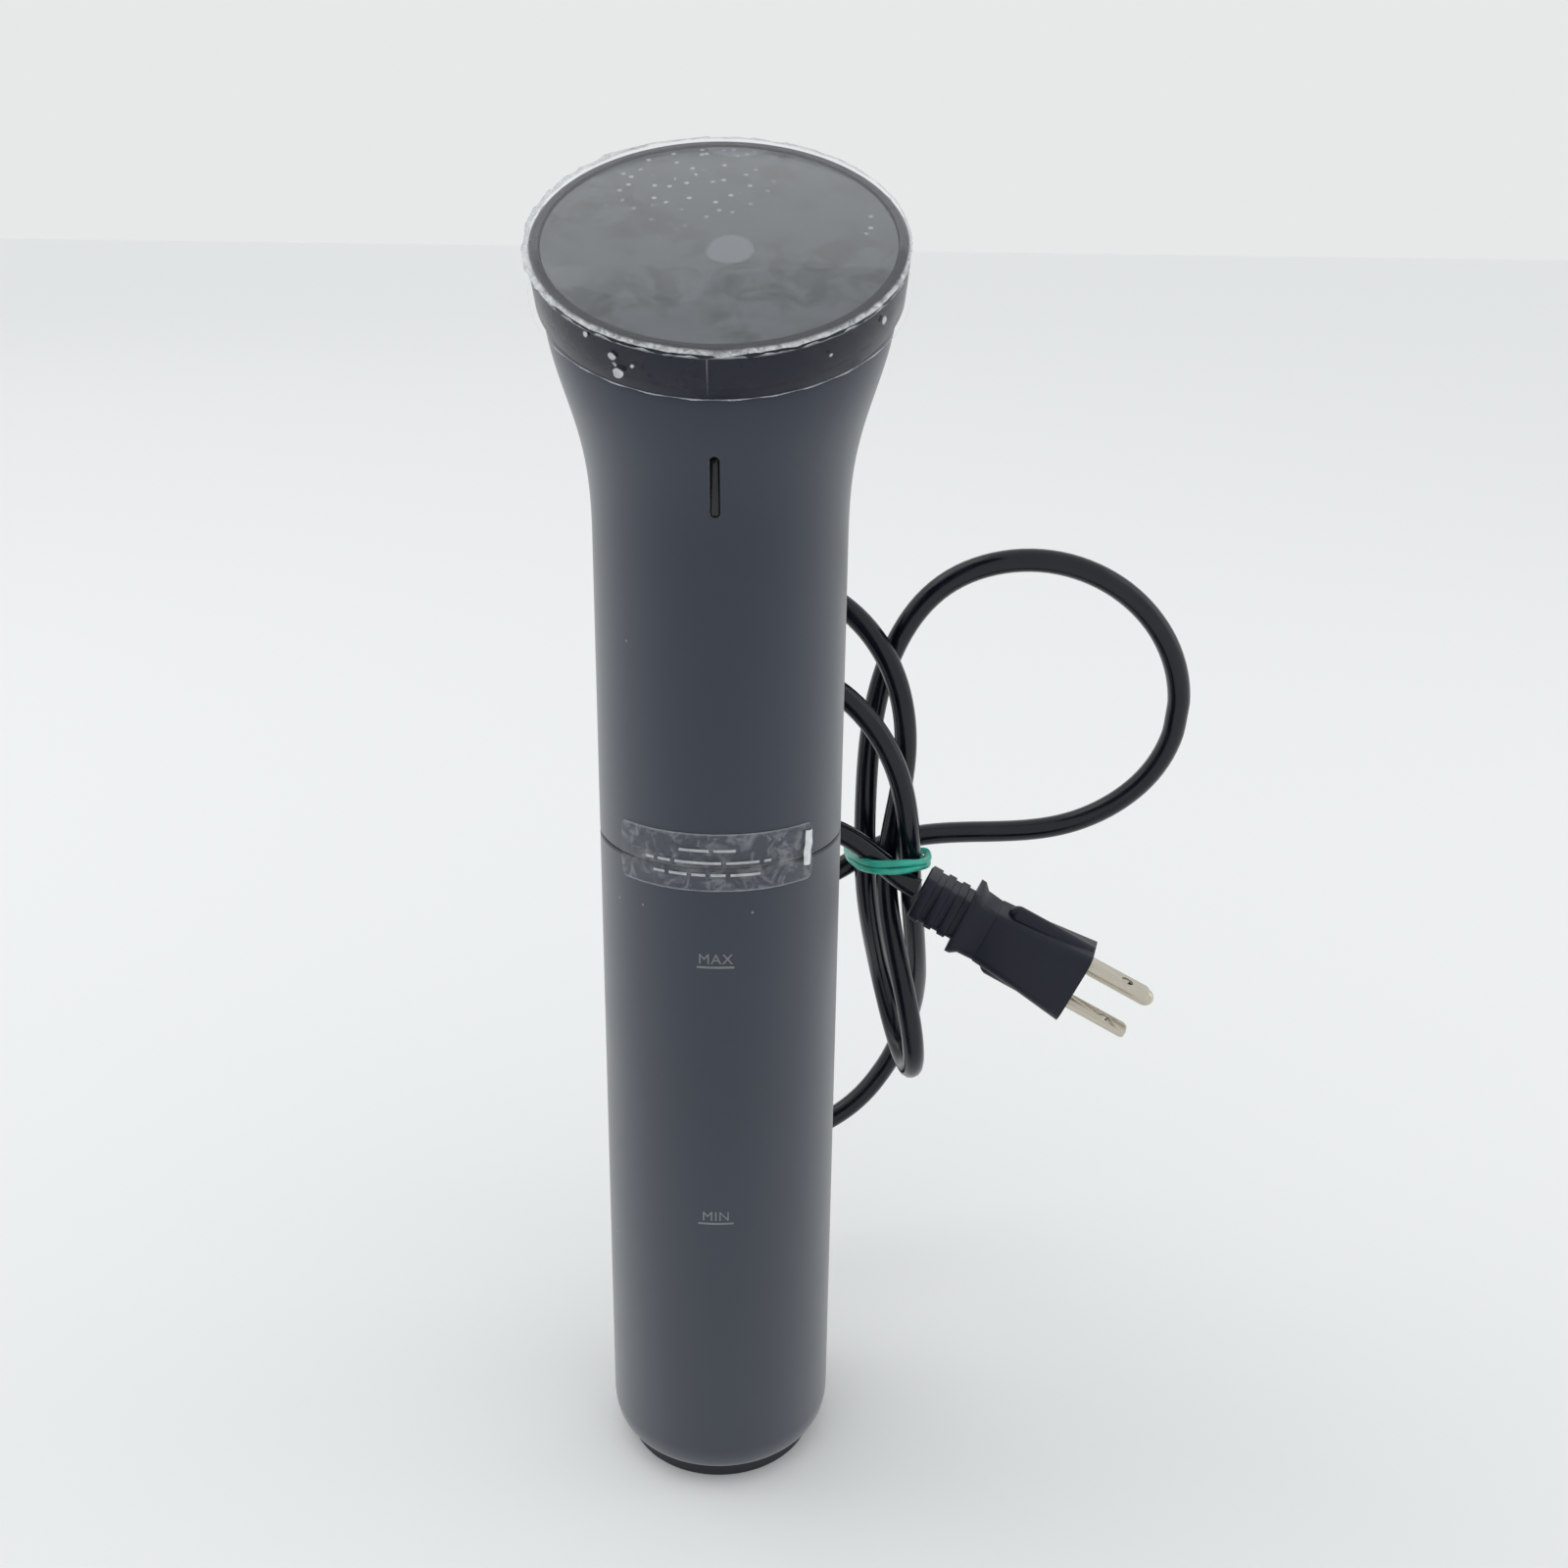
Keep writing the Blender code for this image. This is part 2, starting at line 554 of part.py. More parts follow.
def build_boards():
    half_control = math.sqrt(HOUSING_INNER**2 - CONTROL_BOARD_FRONT**2) - BOARD_INSET
    half_power = math.sqrt(HOUSING_INNER**2 - (POWER_BOARD_FRONT + BOARD_THICKNESS) ** 2) - BOARD_INSET
    bottom = FRAME_TOP + GAP
    control_back = CONTROL_BOARD_FRONT + BOARD_THICKNESS
    power_back = POWER_BOARD_FRONT + BOARD_THICKNESS
    control_top = board_top(CONTROL_BOARD_FRONT) - BOARD_HEADROOM
    power_top = board_top(POWER_BOARD_FRONT) - BOARD_HEADROOM
    control = block(
        "control_board", (-half_control, CONTROL_BOARD_FRONT, bottom), (half_control, control_back, control_top),
        "circuit_board",
    )
    block(
        "power_board", (-half_power, POWER_BOARD_FRONT, bottom), (half_power, power_back, power_top),
        "circuit_board",
    )

    frame = turned(
        "board_frame",
        [(0.008, FRAME_BOTTOM), (FIT_RADIUS, FRAME_BOTTOM), (FIT_RADIUS, FRAME_TOP), (0.008, FRAME_TOP)],
        "white_plastic",
    )
    post_width, post_height = FRAME_POST
    screw_height = FRAME_TOP + BOARD_SCREW_LIFT
    holes = []
    for number, side in enumerate((-1, 1), 1):
        middle = side * FRAME_POST_OFFSET
        post = block(
            f"post_{number}", (middle - post_width / 2, control_back + GAP, FRAME_TOP - 0.001),
            (middle + post_width / 2, POWER_BOARD_FRONT - GAP, FRAME_TOP + post_height), None,
        )
        boolean(frame, post, "UNION")
        place = Matrix.Translation((middle, CONTROL_BOARD_FRONT - GAP, screw_height))
        place @= Matrix.Rotation(-math.pi / 2, 4, "X")
        screw(f"board_screw_{number}", place, 0.006)
        holes.append(rod(f"hole_{number}", SCREW_SHANK + GAP, -0.001, 0.0075, None, place, steps=12))
    screw_holes = joined("board_screw_holes", holes)
    boolean(frame, screw_holes)
    boolean(control, screw_holes)

    build_board_parts(control_top, power_back, bottom)


def build_board_parts(control_top, power_back, bottom):
    front = CONTROL_BOARD_FRONT - GAP
    block("wifi_module", (-0.008, front - 0.0024, control_top - 0.024), (0.008, front, control_top - 0.004), "steel")
    seat = power_back + GAP
    block("relay", (-0.013, seat, bottom + 0.001), (-0.001, seat + 0.010, bottom + 0.017), "blue_part", bevel=0.0004)
    capacitor_radius = 0.0048
    capacitor = [
        (0, 0), (capacitor_radius, 0), (capacitor_radius, 0.0172), (capacitor_radius - 0.0008, 0.018), (0, 0.018),
    ]
    standing = Matrix.Translation((0.0065, seat + capacitor_radius, bottom + 0.001))
    turned("capacitor", capacitor, "blue_part", standing, steps=24)
    choke_outer, choke_inner, choke_width = 0.0085, 0.0040, 0.006
    lying = Matrix.Translation((0, seat, bottom + 0.0285)) @ Matrix.Rotation(-math.pi / 2, 4, "X")
    ring = [
        (choke_inner, 0.001), (choke_inner + 0.001, 0), (choke_outer - 0.001, 0), (choke_outer, 0.001),
        (choke_outer, choke_width - 0.001), (choke_outer - 0.001, choke_width), (choke_inner + 0.001, choke_width),
        (choke_inner, choke_width - 0.001),
    ]
    turned("choke", ring, "copper", lying, steps=16)
    build_heat_sink(bottom)


def build_heat_sink(bottom):
    """A comb of fins, run up along Z, on the front of the power board."""
    half_width, height, base, fins = 0.011, 0.024, 0.0015, 5
    back = POWER_BOARD_FRONT - GAP
    tip = CONTROL_BOARD_FRONT + BOARD_THICKNESS + 3 * GAP
    pitch = 2 * half_width / (2 * fins - 1)
    outline = [(half_width, back), (-half_width, back)]
    for fin in range(fins):
        left = -half_width + 2 * fin * pitch
        outline += [(left, tip), (left + pitch, tip)]
        if fin < fins - 1:
            outline += [(left + pitch, back - base), (left + 2 * pitch, back - base)]
    levels = (bottom + 0.002, bottom + 0.002 + height)
    lofted("heat_sink", [[(x, y, z) for x, y in outline] for z in levels], "steel")


# ---- Bulkhead, motor and drive ----

def build_bulkhead():
    spigot_bottom = SEAM_HEIGHT - SPIGOT_DEPTH
    ring_height = SEAM_HEIGHT - RING_DROP
    ring_centre = SKIRT_INNER - GAP - RING_SECTION
    groove = ring_centre - RING_SECTION - GAP
    reach = RING_SECTION + GAP
    profile = [
        (SEAL_RADIUS + GAP, BULKHEAD_BOTTOM), (SPIGOT_INNER, BULKHEAD_BOTTOM), (SPIGOT_INNER, spigot_bottom),
        (FIT_RADIUS - 0.0006, spigot_bottom), (FIT_RADIUS, spigot_bottom + 0.0008), (FIT_RADIUS, ring_height - reach),
        (groove, ring_height - reach), (groove, ring_height + reach), (FIT_RADIUS, ring_height + reach),
        (FIT_RADIUS, BULKHEAD_TOP), (SEAL_RADIUS + GAP, BULKHEAD_TOP),
    ]
    bulkhead = turned("bulkhead", profile, "black_plastic", steps=40)
    low, high = BULKHEAD_BOTTOM - 0.002, BULKHEAD_TOP + 0.002
    holes = []
    for number, angle in enumerate(BULKHEAD_SCREW_ANGLES, 1):
        place = at_angle(SCREW_CIRCLE, angle)
        holes.append(rod(f"screw_hole_{number}", SCREW_SHANK + GAP, low, high, None, place, steps=12))
        head_seat = at_angle(SCREW_CIRCLE, angle, BULKHEAD_BOTTOM - GAP)
        screw(f"bulkhead_screw_{number}", head_seat, MOUNT_BOTTOM + MOUNT_FLANGE - BULKHEAD_BOTTOM)
    for name, angle in PROBE_ANGLES.items():
        radius = TEMPERATURE_PROBE_RADIUS + GAP
        holes.append(rod(f"{name}_hole", radius, low, high, None, at_angle(PROBE_CIRCLE, angle), steps=12))
    for number, angle in enumerate((0, -math.degrees(HEATER_LEG_ANGLE)), 1):
        place = at_angle(HEATER_RADIUS, angle)
        holes.append(rod(f"leg_hole_{number}", HEATER_TUBE + 2 * GAP, low, high, None, place, steps=20))
    boolean(bulkhead, joined("bulkhead_holes", holes))

    section = [
        (ring_centre + RING_SECTION * math.cos(t), ring_height + RING_SECTION * math.sin(t))
        for t in (2 * math.pi * i / 6 for i in range(6))
    ]
    turned("seam_ring", section, "dark_rubber", steps=36)
    seal = [
        (BORE_RADIUS, BULKHEAD_BOTTOM + GAP), (SEAL_RADIUS, BULKHEAD_BOTTOM + GAP),
        (SEAL_RADIUS, BULKHEAD_TOP - GAP), (BORE_RADIUS, BULKHEAD_TOP - GAP),
    ]
    turned("shaft_seal", seal, "dark_rubber", steps=24)


def build_motor():
    flange_top = MOUNT_BOTTOM + MOUNT_FLANGE
    plate_bottom = MOUNT_TOP - MOUNT_FLANGE
    wall_outer = MOTOR_RADIUS - 0.001
    wall_inner = wall_outer - MOUNT_WALL
    mount = turned(
        "motor_mount",
        [
            (wall_inner, MOUNT_BOTTOM), (FIT_RADIUS, MOUNT_BOTTOM), (FIT_RADIUS, flange_top),
            (wall_outer, flange_top), (wall_outer, plate_bottom), (MOTOR_RADIUS, plate_bottom),
            (MOTOR_RADIUS, MOUNT_TOP), (BORE_RADIUS + RUNNING_GAP, MOUNT_TOP),
            (BORE_RADIUS + RUNNING_GAP, plate_bottom), (wall_inner, plate_bottom),
        ],
        "steel", steps=32,
    )
    mount_holes = [
        rod(f"mount_hole_{angle}", SCREW_SHANK + GAP, MOUNT_BOTTOM - 0.001, flange_top + 0.001, None,
            at_angle(SCREW_CIRCLE, angle), steps=12)
        for angle in BULKHEAD_SCREW_ANGLES
    ]
    screw_radius = wall_inner - SCREW_HEAD - 2 * GAP
    base_holes = []
    for number, angle in enumerate((0, 180), 1):
        seat = at_angle(screw_radius, angle, plate_bottom - GAP)
        screw(f"motor_screw_{number}", seat, MOUNT_FLANGE + MOTOR_BASE + GAP)
        base_holes.append(
            rod(f"motor_hole_{number}", SCREW_SHANK + GAP, plate_bottom - 0.001, MOTOR_BOTTOM + MOTOR_BASE + 0.001,
                None, at_angle(screw_radius, angle), steps=12)
        )
    motor_holes = joined("motor_holes", base_holes)
    boolean(mount, joined("mount_holes", mount_holes))
    boolean(mount, motor_holes)

    inner = MOTOR_RADIUS - MOTOR_WALL
    floor = MOTOR_BOTTOM + MOTOR_BASE
    can = turned(
        "motor_can",
        [
            (BORE_RADIUS, MOTOR_BOTTOM), (MOTOR_RADIUS, MOTOR_BOTTOM), (MOTOR_RADIUS, MOTOR_TOP),
            (inner, MOTOR_TOP), (inner, floor), (BORE_RADIUS, floor),
        ],
        "steel", steps=28,
    )
    boolean(can, motor_holes)
    plug_bottom = MOTOR_TOP - END_BELL_PLUG
    bell_bottom, bell_top = MOTOR_TOP + GAP, MOTOR_TOP + GAP + END_BELL_THICKNESS
    bell = [
        (0, bell_top), (MOTOR_RADIUS, bell_top), (MOTOR_RADIUS, bell_bottom), (inner - GAP, bell_bottom),
        (inner - GAP, plug_bottom), (BORE_RADIUS, plug_bottom), (BORE_RADIUS, bell_bottom + 0.001),
        (0, bell_bottom + 0.001),
    ]
    turned("motor_end_bell", bell, "black_plastic", steps=28)

    rotor_bottom = floor + 0.0027
    rotor_top = rotor_bottom + ROTOR_LENGTH
    magnet_outer = inner - GAP
    magnet_inner = magnet_outer - MAGNET_THICKNESS
    magnet = [
        (magnet_inner, rotor_bottom), (magnet_outer, rotor_bottom), (magnet_outer, rotor_top),
        (magnet_inner, rotor_top),
    ]
    turned("motor_magnet", magnet, "dark_rubber", steps=28)
    rotor_radius = magnet_inner - RUNNING_GAP
    rotor = [
        (BORE_RADIUS, rotor_bottom), (rotor_radius, rotor_bottom), (rotor_radius, rotor_top),
        (BORE_RADIUS, rotor_top),
    ]
    turned("motor_rotor", rotor, "copper", steps=24)

    coupling_bottom = BULKHEAD_TOP + RUNNING_GAP
    coupling_middle = coupling_bottom + COUPLING_LENGTH / 2
    coupling = [
        (BORE_RADIUS, coupling_bottom), (COUPLING_RADIUS - 0.0005, coupling_bottom),
        (COUPLING_RADIUS, coupling_bottom + 0.0005), (COUPLING_RADIUS, coupling_middle - 0.001),
        (COUPLING_RADIUS - 0.001, coupling_middle), (COUPLING_RADIUS, coupling_middle + 0.001),
        (COUPLING_RADIUS, coupling_bottom + COUPLING_LENGTH), (BORE_RADIUS, coupling_bottom + COUPLING_LENGTH),
    ]
    turned("shaft_coupling", coupling, "steel", steps=24)
    rod("motor_shaft", SHAFT_RADIUS, coupling_middle + GAP, MOTOR_TOP - 0.0005, "steel", steps=16)
    rod("drive_shaft", SHAFT_RADIUS, IMPELLER_BOTTOM - GAP - NUT_HEIGHT, coupling_middle - GAP, "steel", steps=16)


def build_pump():
    flange_outer = FOOT_NECK
    shroud_outer = SHROUD_INNER + SHROUD_WALL
    flange_top = SHROUD_BOTTOM + 0.0015
    shroud = [
        (SHROUD_INNER, SHROUD_BOTTOM), (flange_outer, SHROUD_BOTTOM), (flange_outer, flange_top),
        (shroud_outer, flange_top), (shroud_outer, SHROUD_TOP - 0.003), (shroud_outer + 0.0015, SHROUD_TOP),
        (SHROUD_INNER + 0.0015, SHROUD_TOP), (SHROUD_INNER, SHROUD_TOP - 0.003),
    ]
    turned("pump_shroud", shroud, "black_plastic", steps=32)

    tube_inner = SHAFT_TUBE_RADIUS - SHAFT_TUBE_WALL
    tube_top = BULKHEAD_BOTTOM - GAP
    sleeve = [
        (tube_inner, SHAFT_TUBE_BOTTOM), (SHAFT_TUBE_RADIUS, SHAFT_TUBE_BOTTOM), (SHAFT_TUBE_RADIUS, tube_top),
        (tube_inner, tube_top),
    ]
    turned("shaft_tube", sleeve, "steel", steps=24)
    bush_outer = tube_inner - GAP
    bush = [
        (BORE_RADIUS, SHAFT_TUBE_BOTTOM - 0.0015), (SHAFT_TUBE_RADIUS, SHAFT_TUBE_BOTTOM - 0.0015),
        (SHAFT_TUBE_RADIUS, SHAFT_TUBE_BOTTOM - GAP), (bush_outer, SHAFT_TUBE_BOTTOM - GAP),
        (bush_outer, SHAFT_TUBE_BOTTOM + BUSH_LENGTH), (BORE_RADIUS, SHAFT_TUBE_BOTTOM + BUSH_LENGTH),
    ]
    turned("lower_bush", bush, "white_plastic", steps=24)
    build_impeller()


def build_impeller():
    """A hub with twisted blades, bored for the shaft: both outlines run the same way round at every level."""
    tip = SHROUD_INNER - RUNNING_GAP
    per_blade = 6
    count = IMPELLER_BLADES * per_blade
    levels = 5

    def outline(turn, height):
        points = []
        for blade in range(IMPELLER_BLADES):
            middle = turn + 2 * math.pi * blade / IMPELLER_BLADES
            at_tip = BLADE_THICKNESS / 2 / tip
            at_root = BLADE_THICKNESS / 2 / IMPELLER_HUB
            spacing = 2 * math.pi / IMPELLER_BLADES
            for radius, offset in (
                (IMPELLER_HUB, -at_root), (tip, -at_tip), (tip, at_tip), (IMPELLER_HUB, at_root),
                (IMPELLER_HUB, spacing * 0.4), (IMPELLER_HUB, spacing * 0.6),
            ):
                angle = middle + offset
                points.append(Vector((radius * math.cos(angle), radius * math.sin(angle), height)))
        return points

    def bore(turn, height):
        angles = [turn + 2 * math.pi * i / count for i in range(count)]
        return [Vector((BORE_RADIUS * math.cos(a), BORE_RADIUS * math.sin(a), height)) for a in angles]

    steps = [i / (levels - 1) for i in range(levels)]
    heights = [IMPELLER_BOTTOM + IMPELLER_LENGTH * s for s in steps]
    outer = [outline(IMPELLER_TWIST * s, h) for s, h in zip(steps, heights)]
    inner = [bore(IMPELLER_TWIST * s, h) for s, h in zip(steps, heights)]
    lofted("impeller", outer + inner[::-1], "white_plastic", closed=True)


def build_nut():
    low = IMPELLER_BOTTOM - GAP - NUT_HEIGHT
    high = IMPELLER_BOTTOM - GAP
    turns = [2 * math.pi * i / 12 for i in range(12)]

    def hexagon(height):
        points = []
        for i, t in enumerate(turns):
            radius = NUT_RADIUS if i % 2 == 0 else NUT_RADIUS * math.cos(math.pi / 6)
            points.append(Vector((radius * math.cos(t), radius * math.sin(t), height)))
        return points

    def bore(height):
        return [Vector((BORE_RADIUS * math.cos(t), BORE_RADIUS * math.sin(t), height)) for t in turns]

    lofted("impeller_nut", [hexagon(low), hexagon(high), bore(high), bore(low)], "steel", closed=True)


# ---- Wet side ----

def rounded_path(points, radius, spacing, steps=5):
    """A flat path through the points, with its corners rounded and its straights divided."""
    points = [Vector(p) for p in points]
    path = [points[0]]
    for before, corner, after in zip(points, points[1:], points[2:]):
        back, on = (before - corner).normalized(), (after - corner).normalized()
        half = math.acos(max(-1.0, min(1.0, back.dot(on)))) / 2
        reach = radius / math.tan(half)
        centre = corner + (back + on).normalized() * radius / math.sin(half)
        first, last = corner + back * reach - centre, corner + on * reach - centre
        sweep = math.pi - 2 * half
        for i in range(steps + 1):
            weight = i / steps
            turn = (math.sin((1 - weight) * sweep) * first + math.sin(weight * sweep) * last) / math.sin(sweep)
            path.append(centre + turn)
    path.append(points[-1])
    divided = [path[0]]
    for start, stop in zip(path, path[1:]):
        count = max(1, math.ceil((stop - start).length / spacing))
        divided += [start.lerp(stop, i / count) for i in range(1, count + 1)]
    return divided


def build_heater():
    """One tube: down a leg, round and round to the bottom, a bend, and back up between its own turns."""
    full_turn = 2 * math.pi * HEATER_RADIUS
    slope = HEATER_PITCH / full_turn
    between = HEATER_PITCH / 2
    run = (HEATER_TOP - HEATER_BOTTOM - between) / slope
    leg = -HEATER_LEG_ANGLE * HEATER_RADIUS
    top = BULKHEAD_TOP + 0.0012
    flat = [
        (0, top), (0, HEATER_TOP), (run, HEATER_TOP - slope * run), (run, HEATER_TOP - slope * run - between),
        (leg, HEATER_TOP - between - slope * leg), (leg, top),
    ]
    path = rounded_path(flat, between * 0.46, full_turn / 10)
    turns = [(point.x / HEATER_RADIUS, point.y) for point in path]
    points = [(HEATER_RADIUS * math.cos(t), HEATER_RADIUS * math.sin(t), z) for t, z in turns]
    tube("heater_coil", points, HEATER_TUBE, "steel", resolution=1)


def build_probes():
    top = BULKHEAD_TOP + 0.001
    ends = {"min_level_probe": MIN_LEVEL, "max_level_probe": MAX_LEVEL, "temperature_probe": TEMPERATURE_PROBE_END}
    for name, end in ends.items():
        radius = TEMPERATURE_PROBE_RADIUS if name == "temperature_probe" else PROBE_RADIUS
        profile = [(0, end), (radius * 0.7, end + radius * 0.3), (radius, end + radius), (radius, top), (0, top)]
        turned(name, profile, "steel", at_angle(PROBE_CIRCLE, PROBE_ANGLES[name]), steps=12)


def build_skirt():
    mouth = FOOT_NECK + GAP
    bottom = FOOT_STEP
    edge = BODY_RADIUS - SKIRT_ROUND * 0.40
    arc = [
        (edge + (BODY_RADIUS - edge) * math.sin(t), bottom + SKIRT_ROUND * (1 - math.cos(t)))
        for t in (math.pi / 2 * i / 5 for i in range(6))
    ]
    inside = [
        (SKIRT_INNER, SKIRT_TOP), (SKIRT_INNER, bottom + SKIRT_ROUND), (SKIRT_INNER - 0.0015, bottom + 0.0035),
        (mouth, bottom + 0.0018), (mouth, bottom),
    ]
    skirt = turned("skirt", arc + [(BODY_RADIUS, SKIRT_TOP)] + inside, "black_plastic")
    cutters = []
    for number in range(INTAKE_SLOTS):
        angle = math.pi / 2 + (number - (INTAKE_SLOTS - 1) / 2) * INTAKE_SPACING
        outline = capsule_outline(INTAKE_SLOT_WIDTH, INTAKE_LENGTH, steps=4)
        middle = INTAKE_BOTTOM + INTAKE_LENGTH / 2
        place = Matrix.Rotation(angle - math.pi / 2, 4, "Z")
        depths = (SKIRT_INNER - 0.003, BODY_RADIUS + 0.003)
        rings = [[place @ Vector((x, y, middle + z)) for x, z in outline] for y in depths]
        cutters.append(lofted(f"intake_{number}", rings, None))
    boolean(skirt, joined("intake_cutters", cutters))


def build_foot():
    cup = FOOT_NECK - FOOT_WALL
    chamfer = 0.0006
    profile = [
        (0, 0), (FOOT_RADIUS - chamfer, 0), (FOOT_RADIUS, chamfer), (FOOT_RADIUS, FOOT_STEP - GAP),
        (FOOT_NECK, FOOT_STEP - GAP), (FOOT_NECK, FOOT_RIM_HEIGHT), (cup, FOOT_RIM_HEIGHT), (cup, FOOT_PLATE),
        (0, FOOT_PLATE),
    ]
    foot = turned("foot_cap", profile, "dark_rubber", steps=40)
    inner, outer = FOOT_HUB_RADIUS + 0.001, cup - 0.001
    cutters = []
    for number in range(GRILLE_SLOTS):
        place = Matrix.Rotation(2 * math.pi * (number + 0.5) / GRILLE_SLOTS, 4, "Z")
        width = GRILLE_SLOT_WIDTH
        low, high = (inner + width / 2, -width / 2, -0.001), (outer, width / 2, FOOT_PLATE + 0.001)
        cutters.append(block(f"grille_{number}", low, high, None, place))
    boolean(foot, joined("grille_cutters", cutters))


# ---- Label, strain relief, cord, plug and tie ----

def build_label():
    inner = BODY_RADIUS + GAP
    outer = inner + FILM_THICKNESS
    low, high = LABEL_CENTRE - LABEL_HEIGHT / 2, LABEL_CENTRE + LABEL_HEIGHT / 2
    steps = 24
    rings = []
    for i in range(steps + 1):
        turn = -math.pi / 2 + LABEL_HALF_ANGLE * (2 * i / steps - 1)
        across = Vector((math.cos(turn), math.sin(turn), 0))
        rings.append([across * r + Vector((0, 0, z)) for r, z in ((inner, low), (outer, low), (outer, high), (inner, high))])
    lofted("service_label", rings, "clear_film")


def build_gland():
    """A bent, tapered boot: a stub through the housing, a collar outside it, and a tail that points at the cord."""
    height = SEAM_HEIGHT + GLAND_HEIGHT_ABOVE_SEAM
    wall = BODY_RADIUS + 3 * GAP
    tip = CORD_START - CORD_START_DIRECTION * 3 * GAP
    stations = [
        (Vector((0, HOUSING_INNER - 0.0025, height)), 0, GLAND_STUB), (Vector((0, wall, height)), 0, GLAND_STUB),
        (Vector((0, wall, height)), 0, GLAND_COLLAR), (Vector((0, wall + 0.0018, height)), 0, GLAND_COLLAR),
        (Vector((0, wall + 0.0024, height)), 0, GLAND_COLLAR - 0.0006),
        (Vector((0, wall + 0.0024, height)), 0, GLAND_STUB + 0.0004),
    ]
    start = stations[-1][0]
    bend = math.acos(CORD_START_DIRECTION.y)
    steps = 6
    for i in range(1, steps + 1):
        share = i / steps
        along = start.lerp(tip, share)
        lift = Vector((0, 0, 0.0042)) * math.sin(math.pi * share) * 0.75
        radius = GLAND_STUB + 0.0004 + (GLAND_TIP_RADIUS - GLAND_STUB - 0.0004) * share
        stations.append((along + lift, -bend * ease(share), radius))
    rings = []
    for centre, tilt, radius in stations:
        turn = Matrix.Translation(centre) @ Matrix.Rotation(tilt, 4, "X") @ Matrix.Rotation(-math.pi / 2, 4, "X")
        rings.append([
            turn @ Vector((radius * math.cos(t), radius * math.sin(t), 0))
            for t in (2 * math.pi * i / 20 for i in range(20))
        ])
    lofted("cord_gland", rings, "dark_rubber")


def build_cord():
    points = smooth_curve(CORD_ROUTE, CORD_POINTS, CORD_START_DIRECTION, PLUG_AXIS)
    tube("power_cord", points, CORD_RADIUS, "dark_rubber")
    loop = smooth_curve(TIE_LOOP + TIE_LOOP[:3], 48)
    first = min(range(len(loop) // 2), key=lambda i: (loop[i] - Vector(TIE_LOOP[1])).length)
    last = max(range(len(loop) // 2, len(loop)), key=lambda i: -(loop[i] - Vector(TIE_LOOP[1])).length)
    tube("cord_tie", loop[first:last], TIE_RADIUS, "green_band", cyclic=True)


PLUG_STATIONS = [
    # distance from the rear, half width, half depth, depth of the middle, corner radius
    (0.0, 0.0062, 0.0062, 0, 0.0030), (0.0006, 0.0068, 0.0068, 0, 0.0032), (0.0032, 0.0068, 0.0068, 0, 0.0032),
    (0.0032, 0.0054, 0.0054, 0, 0.0026), (0.0052, 0.0054, 0.0054, 0, 0.0026), (0.0052, 0.0068, 0.0068, 0, 0.0032),
    (0.0074, 0.0068, 0.0068, 0, 0.0032), (0.0074, 0.0054, 0.0054, 0, 0.0026), (0.0094, 0.0054, 0.0054, 0, 0.0026),
    (0.0094, 0.0068, 0.0068, 0, 0.0032), (0.0116, 0.0068, 0.0068, 0, 0.0032), (0.0116, 0.0056, 0.0056, 0, 0.0026),
    (0.0134, 0.0056, 0.0056, 0, 0.0026), (0.0134, 0.0092, 0.0080, 0, 0.0016), (0.0148, 0.0092, 0.0080, 0, 0.0016),
    (0.0168, 0.0080, 0.0071, -0.0008, 0.0014), (0.0212, 0.0078, 0.0071, -0.0012, 0.0014),
    (0.0340, 0.0089, 0.0078, -0.0017, 0.0012), (PLUG_FRONT, 0.01005, 0.0085, BLADE_LINE, 0.0010),
]


def build_plug():
    rings = [
        [(x, y, along) for x, y in rounded_outline(half_x, half_y, middle, radius)]
        for along, half_x, half_y, middle, radius in PLUG_STATIONS
    ]
    body = lofted("plug_body", rings, "dark_rubber", PLUG)

    def ridge(name, across, depth, radius, start):
        rounded = [(0, start)] + [
            (radius * math.sin(t), start + radius * (1 - math.cos(t))) for t in (math.pi / 10 * i for i in range(1, 6))
        ]
        profile = rounded + [(radius, PLUG_FRONT - 0.0004), (0, PLUG_FRONT - 0.0004)]
        return turned(name, profile, None, PLUG @ Matrix.Translation((across, depth, 0)), steps=20)

    boolean(body, ridge("side_ridge_1", 0.0084, BLADE_LINE, 0.0028, 0.0236), "UNION")
    boolean(body, ridge("side_ridge_2", -0.0084, BLADE_LINE, 0.0028, 0.0236), "UNION")
    ground_line = BLADE_LINE + GROUND_OFFSET
    boolean(body, ridge("ground_ridge", 0, ground_line - 0.0004, 0.0046, 0.0220), "UNION")

    pocket = PLUG_FRONT - CONTACT_DEPTH - GAP
    half_width, half_thick = BLADE_WIDTH / 2 + GAP, CONTACT_THICKNESS / 2 + GAP
    cutters = [
        block(
            f"pocket_{side}", (side * BLADE_SPACING / 2 - half_thick, BLADE_LINE - half_width, pocket),
            (side * BLADE_SPACING / 2 + half_thick, BLADE_LINE + half_width, PLUG_FRONT + 0.002), None, PLUG,
        )
        for side in (-1, 1)
    ]
    ground_place = PLUG @ Matrix.Translation((0, ground_line, 0))
    cutters.append(rod("ground_pocket", GROUND_RADIUS + GAP, pocket, PLUG_FRONT + 0.002, None, ground_place, steps=20))
    boolean(body, joined("contact_pockets", cutters))

    build_blade("blade_left", 1)
    build_blade("blade_right", -1)
    low, high = PLUG_FRONT - CONTACT_DEPTH, PLUG_FRONT + GROUND_LENGTH
    pin = [(0, low), (GROUND_RADIUS, low)] + [
        (GROUND_RADIUS * math.cos(t), high - GROUND_RADIUS * (1 - math.sin(t)))
        for t in (math.pi / 10 * i for i in range(5))
    ]
    turned("ground_pin", pin + [(0, high)], "nickel", ground_place, steps=20)


